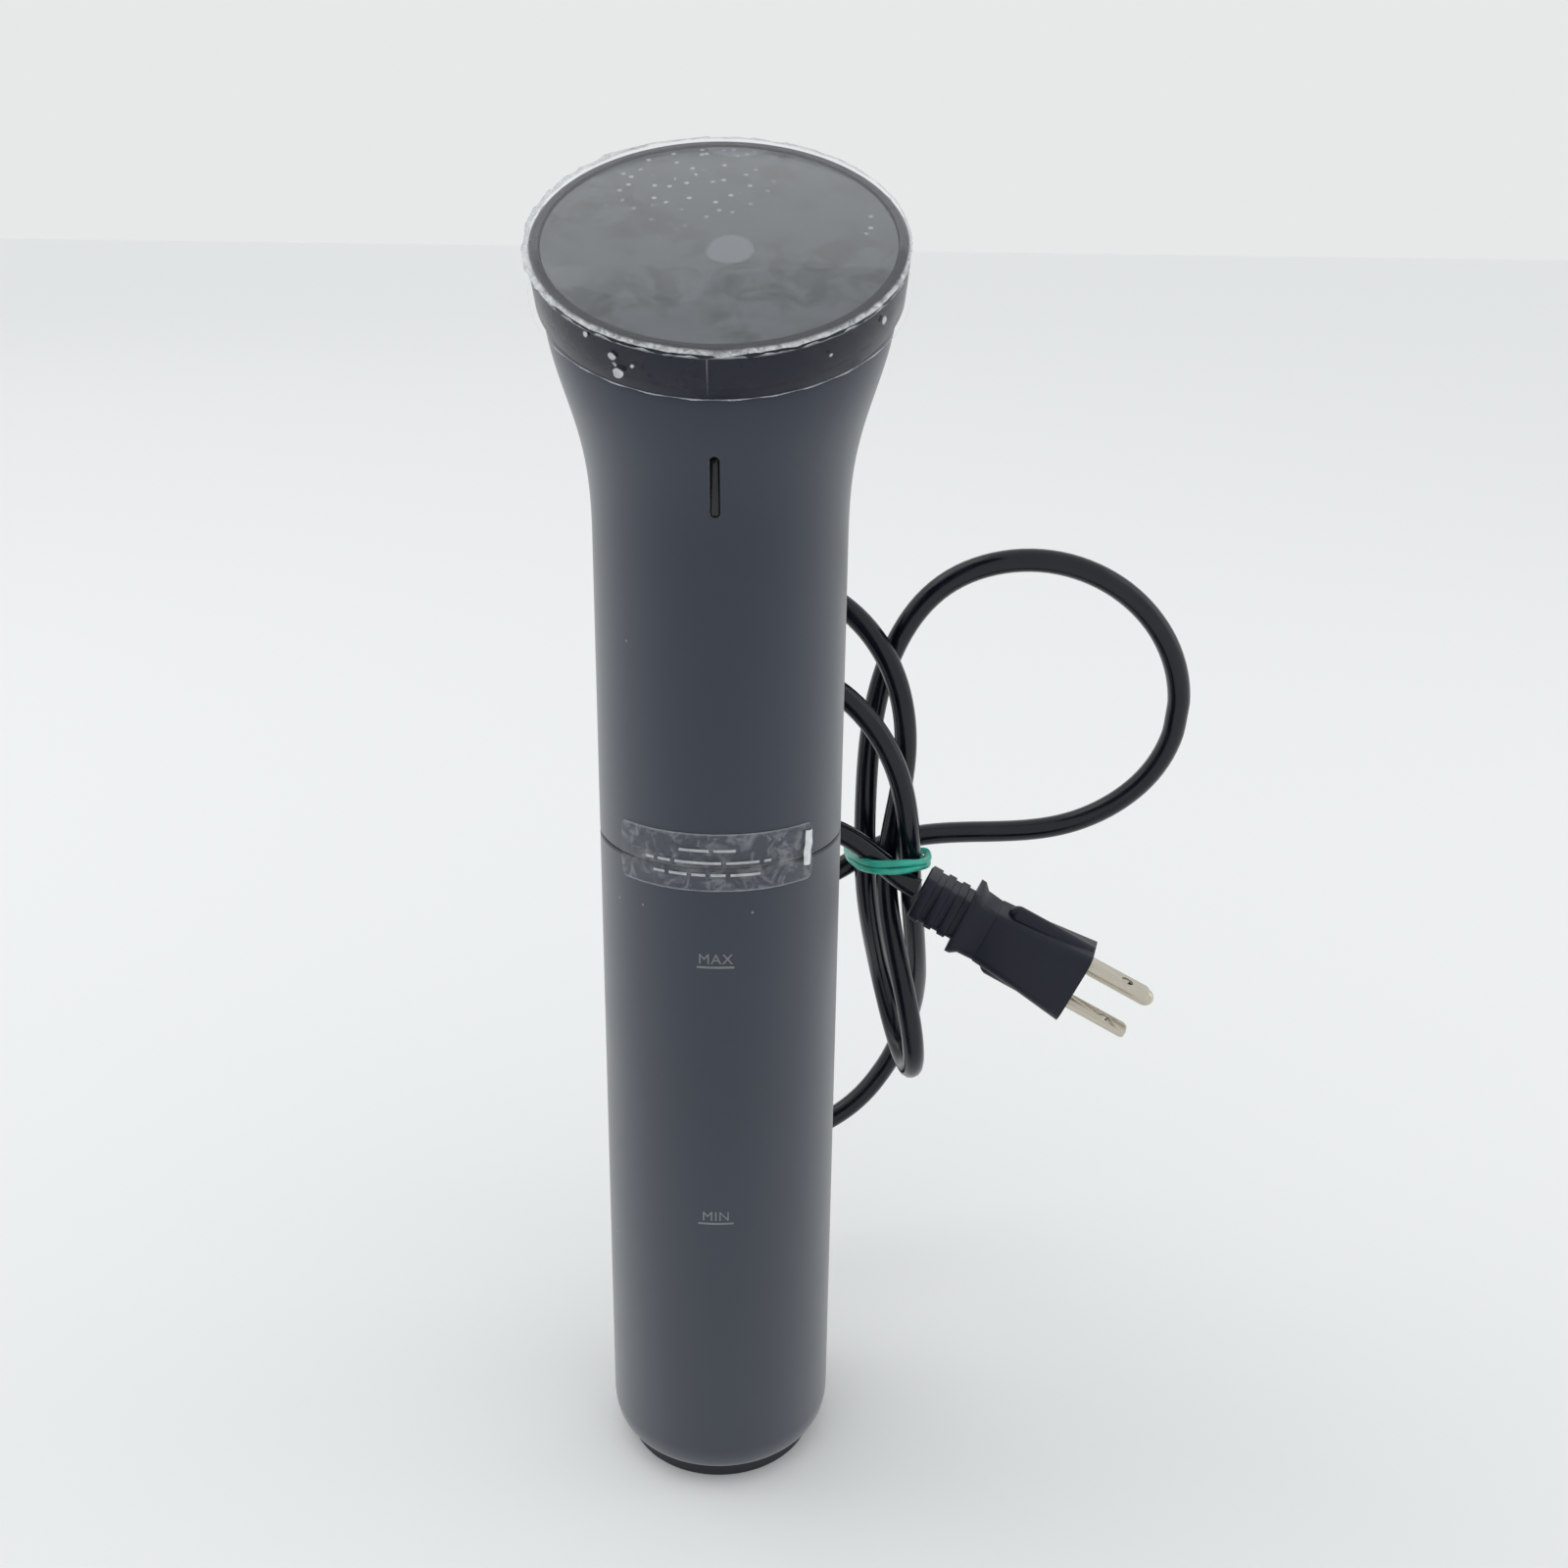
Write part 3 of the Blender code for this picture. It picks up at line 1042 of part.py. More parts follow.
def build_blade(name, side):
    low, high = PLUG_FRONT - CONTACT_DEPTH, PLUG_FRONT + BLADE_LENGTH
    half, corner = BLADE_WIDTH / 2, 0.0014
    outline = [
        (-half, low), (half, low), (half, high - corner), (half - corner, high), (corner - half, high),
        (-half, high - corner),
    ]
    middle = side * BLADE_SPACING / 2
    rings = [
        [(middle + offset, BLADE_LINE + y, z) for y, z in outline]
        for offset in (-CONTACT_THICKNESS / 2, CONTACT_THICKNESS / 2)
    ]
    blade = lofted(name, rings, "nickel", PLUG)
    across = Matrix.Translation((0, BLADE_LINE, PLUG_FRONT + BLADE_HOLE_DISTANCE)) @ Matrix.Rotation(math.pi / 2, 4, "Y")
    reach = 0.002
    hole = rod(f"{name}_hole", BLADE_HOLE_RADIUS, middle - reach, middle + reach, None, PLUG @ across, steps=16)
    boolean(blade, hole)


clear_scene()
build_upper_housing()
build_head()
build_status_light()
build_boards()
build_bulkhead()
build_motor()
build_pump()
build_nut()
build_heater()
build_probes()
build_skirt()
build_foot()
build_label()
build_gland()
build_cord()
build_plug()
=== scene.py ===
"""An immersion circulator for sous vide cooking, standing on its foot with its cord tied behind it.

The slim round shell, the slanted glass face with its clear film, the foot, the cord, the plug and the tie are
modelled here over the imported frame. Everything is in metres, +Z up, with the slanted face towards -Y.
"""

import math

import bpy
import numpy as np
from mathutils import Matrix, Vector


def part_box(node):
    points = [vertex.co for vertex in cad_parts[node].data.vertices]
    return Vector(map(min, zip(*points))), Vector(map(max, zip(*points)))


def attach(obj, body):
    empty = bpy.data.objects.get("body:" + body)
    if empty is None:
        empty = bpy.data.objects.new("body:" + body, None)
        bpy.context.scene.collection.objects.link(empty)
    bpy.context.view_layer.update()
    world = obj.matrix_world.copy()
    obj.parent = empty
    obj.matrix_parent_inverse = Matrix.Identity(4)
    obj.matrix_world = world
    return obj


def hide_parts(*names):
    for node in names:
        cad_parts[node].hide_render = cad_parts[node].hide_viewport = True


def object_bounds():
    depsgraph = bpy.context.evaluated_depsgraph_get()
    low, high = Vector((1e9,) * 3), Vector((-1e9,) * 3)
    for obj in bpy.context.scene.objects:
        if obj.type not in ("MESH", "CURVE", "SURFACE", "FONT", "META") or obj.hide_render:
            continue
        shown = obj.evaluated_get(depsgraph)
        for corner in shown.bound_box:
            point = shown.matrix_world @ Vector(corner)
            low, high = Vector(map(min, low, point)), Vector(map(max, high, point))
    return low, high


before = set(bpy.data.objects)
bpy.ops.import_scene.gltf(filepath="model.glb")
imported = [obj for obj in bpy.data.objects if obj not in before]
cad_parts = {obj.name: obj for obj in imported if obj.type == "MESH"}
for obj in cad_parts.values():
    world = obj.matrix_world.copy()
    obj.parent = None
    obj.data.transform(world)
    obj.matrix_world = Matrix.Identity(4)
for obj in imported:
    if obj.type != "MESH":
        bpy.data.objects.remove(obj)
cad_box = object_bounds()

MM = 0.001
SKIRT_LOW, SKIRT_HIGH = (Vector(corner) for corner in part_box("skirt"))
HOUSING_LOW = Vector(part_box("upper_housing")[0])
LENS_LOW, LENS_HIGH = (Vector(corner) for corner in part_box("status_lens"))
LABEL_LOW, LABEL_HIGH = (Vector(corner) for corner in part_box("service_label"))
LABEL_HEIGHT = LABEL_HIGH.z - LABEL_LOW.z
LABEL_MIDDLE = (LABEL_LOW.z + LABEL_HIGH.z) / 2
BODY_RADIUS = SKIRT_HIGH.x
SEAM = (SKIRT_HIGH.z + HOUSING_LOW.z) / 2
SHELL_WALL = 2.2 * MM
SKIRT_WALL = 1.6 * MM
SKIRT_ROUND = 7 * MM
SKIRT_MOUTH = 22.8 * MM
RIM_CHAMFER = 0.3 * MM
RIM_CHAMFER_HEIGHT = 0.35 * MM

FACE_TILT = math.radians(31)
HEAD_HEIGHT = SEAM + 122.8 * MM
FLARE_LENGTH = 55 * MM
TILT_LENGTH = 78 * MM
BEZEL_HEIGHT = 11.7 * MM
BEZEL_RADIUS = 39.9 * MM
BEZEL_FOOT_RADIUS = 39.5 * MM
FLARE_RADIUS = 38.0 * MM
GLASS_RADIUS = 37.3 * MM
GLASS_TOP = -0.3 * MM
GLASS_BACK = -1.9 * MM
BEZEL_BORE = 33.4 * MM
FACE = (
    Matrix.Translation((0, 0, HEAD_HEIGHT)) @ Matrix.Rotation(FACE_TILT, 4, "X")
    @ Matrix.Translation((0, 0, BEZEL_HEIGHT))
)

FOOT_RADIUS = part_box("foot_cap")[1][0]
FOOT_STEP = 5 * MM
GLAND_HEIGHT = SEAM + 73 * MM
CORD_DIAMETER = 6.1 * MM
CORD_START = Vector((0, 0.049, 0.235))
CORD_START_DIRECTION = Vector((0, 0.64, -0.77)).normalized()
PLUG_START = Vector((0.0525, 0.044, 0.1375))
PLUG_AXIS = Vector((0.879, -0.256, -0.402)).normalized()
PLUG_SIDE = Vector((-0.388, 0.105, -0.916))
PLUG_SIDE = (PLUG_SIDE - PLUG_SIDE.dot(PLUG_AXIS) * PLUG_AXIS).normalized()
PLUG_TURN = Matrix((PLUG_SIDE, PLUG_AXIS.cross(PLUG_SIDE), PLUG_AXIS)).transposed().to_4x4()
PLUG = Matrix.Translation(PLUG_START) @ PLUG_TURN
PLUG_FRONT = 48.4 * MM
CONTACT_DEPTH = 6 * MM
BLADE_LINE = -2.1 * MM
BLADE_OFFSET = 6.35 * MM
BLADE_SIZE = (1.5 * MM, 6.35 * MM)
BLADE_LENGTH = 17.9 * MM
BLADE_HOLE_RADIUS = 1.6 * MM
BLADE_HOLE_HEIGHT = PLUG_FRONT + 11.4 * MM
PIN_LINE = 9.8 * MM
PIN_RADIUS = 2.4 * MM
PIN_LENGTH = 21.8 * MM
QUARTER_TURN = math.pi / 2

CORD_ROUTE = [
    (0.0, 0.049, 0.235), (-0.003, 0.0585, 0.211), (-0.008, 0.060, 0.178), (-0.006, 0.063, 0.148),
    (0.005, 0.0665, 0.130), (0.022, 0.0695, 0.1285), (0.043, 0.0715, 0.1395), (0.097, 0.074, 0.1465),
    (0.118, 0.068, 0.164), (0.1225, 0.061, 0.188), (0.108, 0.055, 0.2155), (0.082, 0.054, 0.227),
    (0.057, 0.0585, 0.2195), (0.0425, 0.062, 0.196), (0.038, 0.062, 0.160), (0.039, 0.0635, 0.130),
    (0.0425, 0.072, 0.108), (0.0455, 0.0775, 0.0935), (0.049, 0.0725, 0.081), (0.0524, 0.059, 0.0755),
    (0.0532, 0.0472, 0.083), (0.0508, 0.0432, 0.101), (0.0442, 0.056, 0.136), (0.0478, 0.054, 0.172),
    (0.0415, 0.054, 0.201), (0.018, 0.063, 0.218), (-0.012, 0.065, 0.211), (-0.027, 0.058, 0.150),
    (-0.019, 0.064, 0.061), (0.006, 0.0745, 0.0395), (0.040, 0.0825, 0.050), (0.054, 0.083, 0.077),
    (0.0545, 0.067, 0.105), (0.0504, 0.052, 0.140), (0.045, 0.0445, 0.172), (0.020, 0.0435, 0.199),
    (-0.012, 0.0445, 0.196), (-0.013, 0.045, 0.166), (0.0307, 0.0453, 0.1536), (0.0517, 0.0442, 0.1379),
]
HEM_FLAKES = [  # degrees round from the front, height below the face and radius in millimetres
    (-29.4, -4.9, 0.85), (-29.0, -6.6, 0.65), (-28.0, -8.4, 1.2), (57, -4.6, 0.85), (-22.8, -5.6, 0.5),
    (-38.8, -2.5, 0.6), (34.8, -5.4, 0.42),
]
TIE_LOOP = [
    (0.0330, 0.060, 0.1420), (0.0345, 0.049, 0.1440), (0.0400, 0.0400, 0.1458), (0.0475, 0.0405, 0.1460),
    (0.0540, 0.0465, 0.1445), (0.0560, 0.0560, 0.1420), (0.0555, 0.0670, 0.1390), (0.0500, 0.0755, 0.1365),
    (0.0420, 0.0775, 0.1380), (0.0350, 0.0740, 0.1405),
]


# ---- Camera, light and floor ----

def add_camera():
    data = bpy.data.cameras.new("view_camera")
    data.lens = 36
    data.sensor_width = 36
    camera = bpy.data.objects.new("view_camera", data)
    pitch, roll = Matrix.Rotation(math.radians(70.6), 4, "X"), Matrix.Rotation(math.radians(0.8), 4, "Z")
    camera.matrix_world = Matrix.Translation((0.015, -0.351, 0.307)) @ pitch @ roll
    bpy.context.scene.collection.objects.link(camera)
    bpy.context.scene.camera = camera


def add_soft_light(name, place, target, size, power, colour=(1, 1, 1)):
    data = bpy.data.lights.new(name, "AREA")
    data.shape = "RECTANGLE"
    data.size, data.size_y = size
    data.energy = power
    data.color = colour
    light = bpy.data.objects.new(name, data)
    light.location = place
    light.rotation_euler = (Vector(target) - Vector(place)).to_track_quat("-Z", "Y").to_euler()
    bpy.context.scene.collection.objects.link(light)


def add_studio():
    world = bpy.data.worlds.new("pale_room")
    world.use_nodes = True
    room = world.node_tree.nodes["Background"]
    room.inputs["Color"].default_value = (0.800, 0.815, 0.815, 1)
    room.inputs["Strength"].default_value = 1.0
    bpy.context.scene.world = world
    bpy.context.scene.view_settings.view_transform = "Standard"
    add_soft_light("overhead_panel", (-2.4, 1.1, 3.4), (0, 0, 0.1), (2.2, 2.2), 13.0, (1, 0.99, 0.97))
    add_soft_light("left_panel", (-1.3, 0.1, 0.8), (0, 0, 0.17), (0.7, 1.2), 1.8, (0.97, 0.98, 1))
    add_soft_light("right_panel", (1.3, 0.1, 0.7), (0, 0, 0.17), (0.6, 1.2), 1.3)

    bpy.ops.object.select_all(action="DESELECT")
    bpy.ops.mesh.primitive_plane_add(size=60)
    floor = bpy.context.active_object
    floor.name = "pale_floor"
    finish = bpy.data.materials.new("pale_paper")
    finish.use_nodes = True
    shader = finish.node_tree.nodes["Principled BSDF"]
    shader.inputs["Base Color"].default_value = (0.94, 0.95, 0.95, 1)
    shader.inputs["Roughness"].default_value = 0.9
    floor.data.materials.append(finish)


# ---- Modelling by hand ----

def select_only(piece):
    bpy.ops.object.select_all(action="DESELECT")
    piece.select_set(True)
    bpy.context.view_layer.objects.active = piece


def add_step(piece, kind, **settings):
    """Adds a modifier and applies it."""
    step = piece.modifiers.new(kind.lower(), kind)
    for key, value in settings.items():
        setattr(step, key, value)
    select_only(piece)
    bpy.ops.object.modifier_apply(modifier=step.name)


def cut(piece, cutter, operation="DIFFERENCE"):
    add_step(piece, "BOOLEAN", object=cutter, operation=operation, solver="EXACT")
    bpy.data.objects.remove(cutter, do_unlink=True)


def soften(piece, width, segments=3, angle=35):
    add_step(
        piece, "BEVEL", width=width, segments=segments, limit_method="ANGLE", angle_limit=math.radians(angle),
        harden_normals=False,
    )


def place_piece(piece, place):
    select_only(piece)
    piece.matrix_world = place @ piece.matrix_world
    bpy.ops.object.transform_apply(location=True, rotation=True, scale=True)


def smooth(piece, angle=32):
    select_only(piece)
    bpy.ops.object.shade_smooth_by_angle(angle=math.radians(angle))


def start_box(name, size, centre=(0, 0, 0)):
    bpy.ops.object.select_all(action="DESELECT")
    bpy.ops.mesh.primitive_cube_add(size=1, location=centre)
    box = bpy.context.active_object
    box.name = name
    box.scale = size
    bpy.ops.object.transform_apply(location=True, rotation=False, scale=True)
    return box


def bevel_edges(piece, wanted, width, segments):
    """Rounds the edges whose two end points satisfy wanted."""
    corners = piece.data.vertices
    chosen = [
        edge.index for edge in piece.data.edges if wanted(*(corners[i].co for i in edge.vertices))
    ]
    bpy.ops.object.mode_set(mode="EDIT")
    bpy.ops.mesh.select_mode(type="EDGE")
    bpy.ops.mesh.select_all(action="DESELECT")
    bpy.ops.object.mode_set(mode="OBJECT")
    for index in chosen:
        piece.data.edges[index].select = True
    bpy.ops.object.mode_set(mode="EDIT")
    bpy.ops.mesh.bevel(offset=width, segments=segments, affect="EDGES")
    bpy.ops.mesh.select_mode(type="VERT")
    bpy.ops.object.mode_set(mode="OBJECT")


def start_ring(name, radius, height, sides):
    bpy.ops.object.select_all(action="DESELECT")
    bpy.ops.mesh.primitive_circle_add(
        vertices=sides, radius=radius, location=(0, 0, height), fill_type="NOTHING",
    )
    piece = bpy.context.active_object
    piece.name = name
    bpy.ops.object.transform_apply(location=True, rotation=False, scale=False)
    bpy.ops.object.mode_set(mode="EDIT")
    bpy.ops.mesh.select_all(action="SELECT")
    return piece


def pull_ring(step, centre, scale=1.0, tilt=0.0):
    """Extrudes the selected ring by step, then turns it about X and resizes it about its new centre."""
    bpy.ops.mesh.extrude_region_move(TRANSFORM_OT_translate={"value": step})
    if tilt:
        bpy.ops.transform.rotate(value=-tilt, orient_axis="X", center_override=centre)
    if abs(scale - 1) > 1e-9:
        bpy.ops.transform.resize(value=(scale, scale, scale), center_override=centre)


def close_up(fill=True):
    """Welds the mesh in edit mode, fills its open ends unless told not to, and turns its faces outward."""
    bpy.ops.mesh.select_all(action="SELECT")
    bpy.ops.mesh.remove_doubles(threshold=1e-6)
    if fill:
        bpy.ops.mesh.select_all(action="SELECT")
        bpy.ops.mesh.fill_holes(sides=0)
    bpy.ops.mesh.select_all(action="SELECT")
    bpy.ops.mesh.normals_make_consistent(inside=False)
    bpy.ops.object.mode_set(mode="OBJECT")


def turned(name, profile, place=None, sides=96, fill=True):
    """Pulls a ring along a profile of (radius, height)."""
    piece = start_ring(name, *profile[0], sides)
    for (radius, height), (next_radius, next_height) in zip(profile, profile[1:]):
        pull_ring((0, 0, next_height - height), (0, 0, next_height), next_radius / radius)
    close_up(fill)
    if place is not None:
        place_piece(piece, place)
    return piece


def slot_cutter(name, width, length, depth, place):
    """A block with round ends, long in Z and cutting along Y."""
    cutter = start_box(name, (width, depth, length))
    bevel_edges(cutter, lambda one, other: abs(one.y - other.y) > depth / 2, width * 0.499, 8)
    place_piece(cutter, place)
    return cutter


def ease(value):
    """A smooth step from 0 to 1."""
    value = min(max(value, 0.0), 1.0)
    return value * value * (3 - 2 * value)


# ---- Finishes ----

class Finish:
    """A Principled material that is built up node by node."""

    def __init__(self, name, colour, roughness, metallic=0.0, **sockets):
        self.material = bpy.data.materials.new(name)
        self.material.use_nodes = True
        self.tree = self.material.node_tree
        self.shader = self.tree.nodes["Principled BSDF"]
        self.paint("Base Color", (*colour, 1))
        self.paint("Roughness", roughness)
        self.paint("Metallic", metallic)
        for socket, value in sockets.items():
            self.paint(socket.replace("_", " "), value)
        self.place = self.tree.nodes.new("ShaderNodeTexCoord").outputs["Object"]

    def set(self, node, socket, value):
        if isinstance(value, bpy.types.NodeSocket):
            self.tree.links.new(value, node.inputs[socket])
        else:
            node.inputs[socket].default_value = value

    def paint(self, socket, value):
        self.set(self.shader, socket, value)

    def add(self, kind, output, settings=(), **sockets):
        """Adds a node with its settings and inputs, and gives one of its outputs."""
        node = self.tree.nodes.new("ShaderNode" + kind)
        for key, value in dict(settings).items():
            setattr(node, key, value)
        for socket, value in sockets.items():
            self.set(node, socket.replace("_", " "), value)
        return node.outputs[output]

    def noise(self, scale, detail=3.0, where=None, roughness=0.5, distortion=0.0):
        return self.add(
            "TexNoise", "Fac", Vector=where or self.place, Scale=scale, Detail=detail, Roughness=roughness,
            Distortion=distortion,
        )

    def spread(self, value, low, high, to_low=0.0, to_high=1.0):
        """Maps low to to_low and high to to_high, and holds both ends."""
        return self.add(
            "MapRange", "Result", Value=value, From_Min=low, From_Max=high, To_Min=to_low, To_Max=to_high,
        )

    def sum(self, operation, first, second=0.0, clamp=False):
        node = self.tree.nodes.new("ShaderNodeMath")
        node.operation = operation
        node.use_clamp = clamp
        self.set(node, 0, first)
        self.set(node, 1, second)
        return node.outputs[0]

    def mix(self, factor, first, second):
        node = self.tree.nodes.new("ShaderNodeMix")
        node.data_type = "RGBA"
        self.set(node, "Factor", factor)
        for index, value in ((6, first), (7, second)):
            self.set(node, index, value if isinstance(value, bpy.types.NodeSocket) else (*value, 1))
        return node.outputs[2]

    def bump(self, height, strength, distance):
        self.paint("Normal", self.add("Bump", "Normal", Height=height, Strength=strength, Distance=distance))

    def vector_sum(self, operation, *values):
        node = self.tree.nodes.new("ShaderNodeVectorMath")
        node.operation = operation
        for index, value in enumerate(values):
            self.set(node, index, value)
        return node.outputs["Value" if operation == "LENGTH" else "Vector"]

    def distance(self, where, place, stretch=(1, 1, 1)):
        """How far where is from place, with each direction weighed by stretch."""
        away = self.vector_sum("SUBTRACT", where, place)
        return self.vector_sum("LENGTH", self.vector_sum("MULTIPLY", away, stretch))

    def moved(self, place):
        """Object coordinates in the frame of place."""
        location, rotation, _ = place.decompose()
        return self.add(
            "Mapping", "Vector", {"vector_type": "TEXTURE"}, Vector=self.place, Location=location,
            Rotation=rotation.to_euler(),
        )

    def put_on(self, *pieces):
        for piece in pieces:
            for i in range(len(piece.data.materials)):
                piece.data.materials[i] = self.material
            if not piece.data.materials:
                piece.data.materials.append(self.material)


def slate_plastic():
    """Fine, soft-touch moulded plastic: a tight grain, faint handling marks and a few specks of dust."""
    finish = Finish(
        "slate_plastic", (0.016, 0.022, 0.037), 0.46, IOR=1.48, Sheen_Weight=0.40, Sheen_Roughness=0.55,
    )
    handled = finish.spread(finish.noise(24, 5, distortion=0.6), 0.35, 0.7)
    finish.paint("Roughness", finish.spread(handled, 0, 1, 0.40, 0.50))
    dust_cells = finish.add("TexVoronoi", "Distance", Vector=finish.place, Scale=150.0)
    speck = finish.spread(dust_cells, 0.035, 0.06, 1.0, 0.0)
    sparse = finish.spread(finish.noise(60, 1), 0.60, 0.66)
    dust = finish.sum("MULTIPLY", speck, sparse)
    skin = finish.mix(handled, (0.0095, 0.0170, 0.0350), (0.0135, 0.0215, 0.0420))
    finish.paint("Base Color", finish.mix(dust, skin, (0.16, 0.165, 0.17)))
    finish.bump(finish.noise(2600, 2), 0.35, 0.03 * MM)
    return finish


def gloss_black():
    """Polished black plastic with faint smears."""
    finish = Finish("gloss_black", (0.003, 0.006, 0.016), 0.26, IOR=1.42)
    smears = finish.spread(finish.noise(60, 2), 0.35, 0.75)
    finish.paint("Roughness", finish.spread(smears, 0, 1, 0.24, 0.30))
    return finish


def face_glass():
    """Smoked glass under its film, with a grey base colour that is a painted reflection of the pale room,
    darker in cloudy patches where the film clings, with one large bubble and small ones.
    """
    finish = Finish("face_glass", (0.12, 0.13, 0.15), 0.12, IOR=1.45)
    on_face = finish.moved(FACE)
    clouds = finish.spread(finish.noise(120, 6, on_face, 0.65, 0.6), 0.44, 0.62)
    broad = finish.spread(finish.noise(30, 2, on_face), 0.40, 0.56)
    clinging = finish.sum("MULTIPLY", clouds, broad)

    def disc(x, y, radius, edge=0.4 * MM, wobble=0.0):
        distance = finish.distance(on_face, (x, y, 0), (1, 1, 0))
        if wobble:
            shift = finish.spread(finish.noise(160, 2, on_face), 0.3, 0.7, -wobble, wobble)
            distance = finish.sum("ADD", distance, shift)
        return finish.spread(distance, radius - edge, radius + edge, 1.0, 0.0)

    bubble = disc(2.4 * MM, -4.0 * MM, 5.0 * MM, wobble=0.5 * MM)
    tab = disc(3.0 * MM, 42.6 * MM, 9.6 * MM, wobble=0.2 * MM)
    cells = finish.add("TexVoronoi", "Distance", {"voronoi_dimensions": "2D"}, Vector=on_face, Scale=230.0)
    dots = finish.spread(cells, 0.09, 0.15, 1.0, 0.0)
    upper = disc(-8 * MM, 24 * MM, 17 * MM, 5 * MM)
    right = disc(30 * MM, 6 * MM, 4 * MM, 1 * MM)
    where_dots = finish.sum("MAXIMUM", upper, right)
    sparse = finish.spread(finish.noise(330, 0, on_face), 0.38, 0.44)
    dots = finish.sum("MULTIPLY", finish.sum("MULTIPLY", dots, sparse), where_dots)
    raised = finish.sum("MAXIMUM", bubble, tab)

    # Painted reflection: the lighter grey stands for the pale room mirrored in the film, and the darker grey
    # marks where the film clings.
    painted_reflection_and_cling = finish.mix(clinging, (0.112, 0.124, 0.140), (0.062, 0.067, 0.067))
    with_bubble = finish.mix(raised, painted_reflection_and_cling, (0.215, 0.228, 0.250))
    finish.paint("Base Color", finish.mix(dots, with_bubble, (0.50, 0.51, 0.52)))
    finish.paint("Roughness", finish.spread(clouds, 0, 1, 0.16, 0.10))
    ripple = finish.sum("MULTIPLY", finish.noise(38, 1, on_face), 0.4)
    finish.bump(finish.sum("ADD", finish.sum("MULTIPLY", raised, 0.6), ripple), 0.05, 0.3 * MM)
    return finish


def face_film():
    """Clear film that turns white where it is creased, round its torn edge."""
    finish = Finish("face_film", (0.80, 0.82, 0.84), 0.22, IOR=1.4)
    on_face = finish.moved(FACE)
    edge = finish.spread(finish.distance(on_face, (0, 0, 0), (1, 1, 0)), 39.35 * MM, 39.9 * MM)
    creases = finish.spread(finish.noise(420, 5, on_face, 0.7, 0.8), 0.40, 0.62, 0.25, 1.0)
    white = finish.sum("MULTIPLY", edge, creases)
    finish.paint("Alpha", finish.spread(white, 0, 1, 0.05, 0.72))
    finish.paint("Roughness", finish.spread(white, 0, 1, 0.12, 0.45))
    return finish


def band_film():
    """The film's hem down the band: clear, with a seam, white edges and white flakes where it has lifted."""
    finish = Finish("hem_film", (0.78, 0.80, 0.84), 0.20, IOR=1.4)
    on_face = finish.moved(FACE)
    ragged = finish.spread(finish.noise(420, 3, on_face), 0.3, 0.7, -0.35 * MM, 0.35 * MM)
    white = None
    for turn, height, radius in HEM_FLAKES:
        angle = math.radians(turn - 90)
        place = (40 * MM * math.cos(angle), 40 * MM * math.sin(angle), height * MM)
        distance = finish.sum("ADD", finish.distance(on_face, place), ragged)
        flake = finish.spread(distance, (radius - 0.1) * MM, (radius + 0.1) * MM, 1.0, 0.0)
        white = flake if white is None else finish.sum("MAXIMUM", white, flake)
    fine = finish.spread(finish.noise(700, 3, on_face), 0.35, 0.65, 0.45, 1.0)
    height = finish.add("SeparateXYZ", "Z", Vector=on_face)
    hem = finish.spread(height, -10.6 * MM, -10.85 * MM, 0.0, 0.45)
    torn = finish.spread(height, -1.7 * MM, -1.2 * MM, 0.0, 0.5)
    from_seam = finish.distance(on_face, (-1.0 * MM, -40 * MM, 0), (1, 0.2, 0))
    seam = finish.spread(from_seam, 0.06 * MM, 0.16 * MM, 0.12, 0.0)
    edges = finish.sum("MULTIPLY", finish.sum("ADD", hem, torn), fine)
    flakes = finish.sum("MULTIPLY", white, finish.spread(fine, 0, 1, 0.25, 0.6))
    shown = finish.sum("MAXIMUM", flakes, edges)
    finish.paint("Alpha", finish.sum("MAXIMUM", shown, seam, clamp=True))
    return finish


def label_film():
    """Clear sticker film, hazier in its wrinkles and along its long edges."""
    finish = Finish("label_film", (0.50, 0.52, 0.55), 0.16, IOR=1.5)
    wrinkles = finish.spread(finish.noise(230, 6, roughness=0.7, distortion=0.7), 0.47, 0.62)
    height = finish.add("SeparateXYZ", "Z", Vector=finish.place)
    from_middle = finish.sum("ABSOLUTE", finish.sum("SUBTRACT", height, LABEL_MIDDLE))
    rim = finish.spread(from_middle, LABEL_HEIGHT / 2 - 0.5 * MM, LABEL_HEIGHT / 2, 0.0, 0.20)
    clear = finish.spread(wrinkles, 0, 1, 0.03, 0.20)
    finish.paint("Alpha", finish.sum("ADD", clear, rim, clamp=True))
    finish.paint("Roughness", finish.spread(wrinkles, 0, 1, 0.10, 0.30))
    finish.bump(finish.noise(150, 4), 0.25, 0.2 * MM)
    return finish


def plain_finish(name, dark, light, roughness, scale, grain=0.0, **sockets):
    """Patches between two shades, with a fine grain if asked for."""
    finish = Finish(name, dark, roughness, **sockets)
    patches = finish.spread(finish.noise(scale, 4.0), 0.3, 0.7)
    finish.paint("Base Color", finish.mix(patches, dark, light))
    finish.paint("Roughness", finish.spread(patches, 0, 1, roughness * 0.85, roughness * 1.15))
    if grain:
        finish.bump(finish.noise(1800, 2), grain, 0.04 * MM)
    return finish


def cord_vinyl():
    """Satin vinyl jacket with scuffs and a fine grain."""
    finish = Finish("cord_vinyl", (0.005, 0.006, 0.012), 0.24, IOR=1.44)
    scuffs = finish.spread(finish.noise(120, 5), 0.45, 0.75)
    shade = finish.mix(scuffs, (0.0035, 0.0045, 0.0100), (0.0075, 0.0085, 0.0150))
    finish.paint("Base Color", shade)
    finish.paint("Roughness", finish.spread(scuffs, 0, 1, 0.18, 0.30))
    finish.bump(finish.noise(1100, 3), 0.15, 0.05 * MM)
    return finish


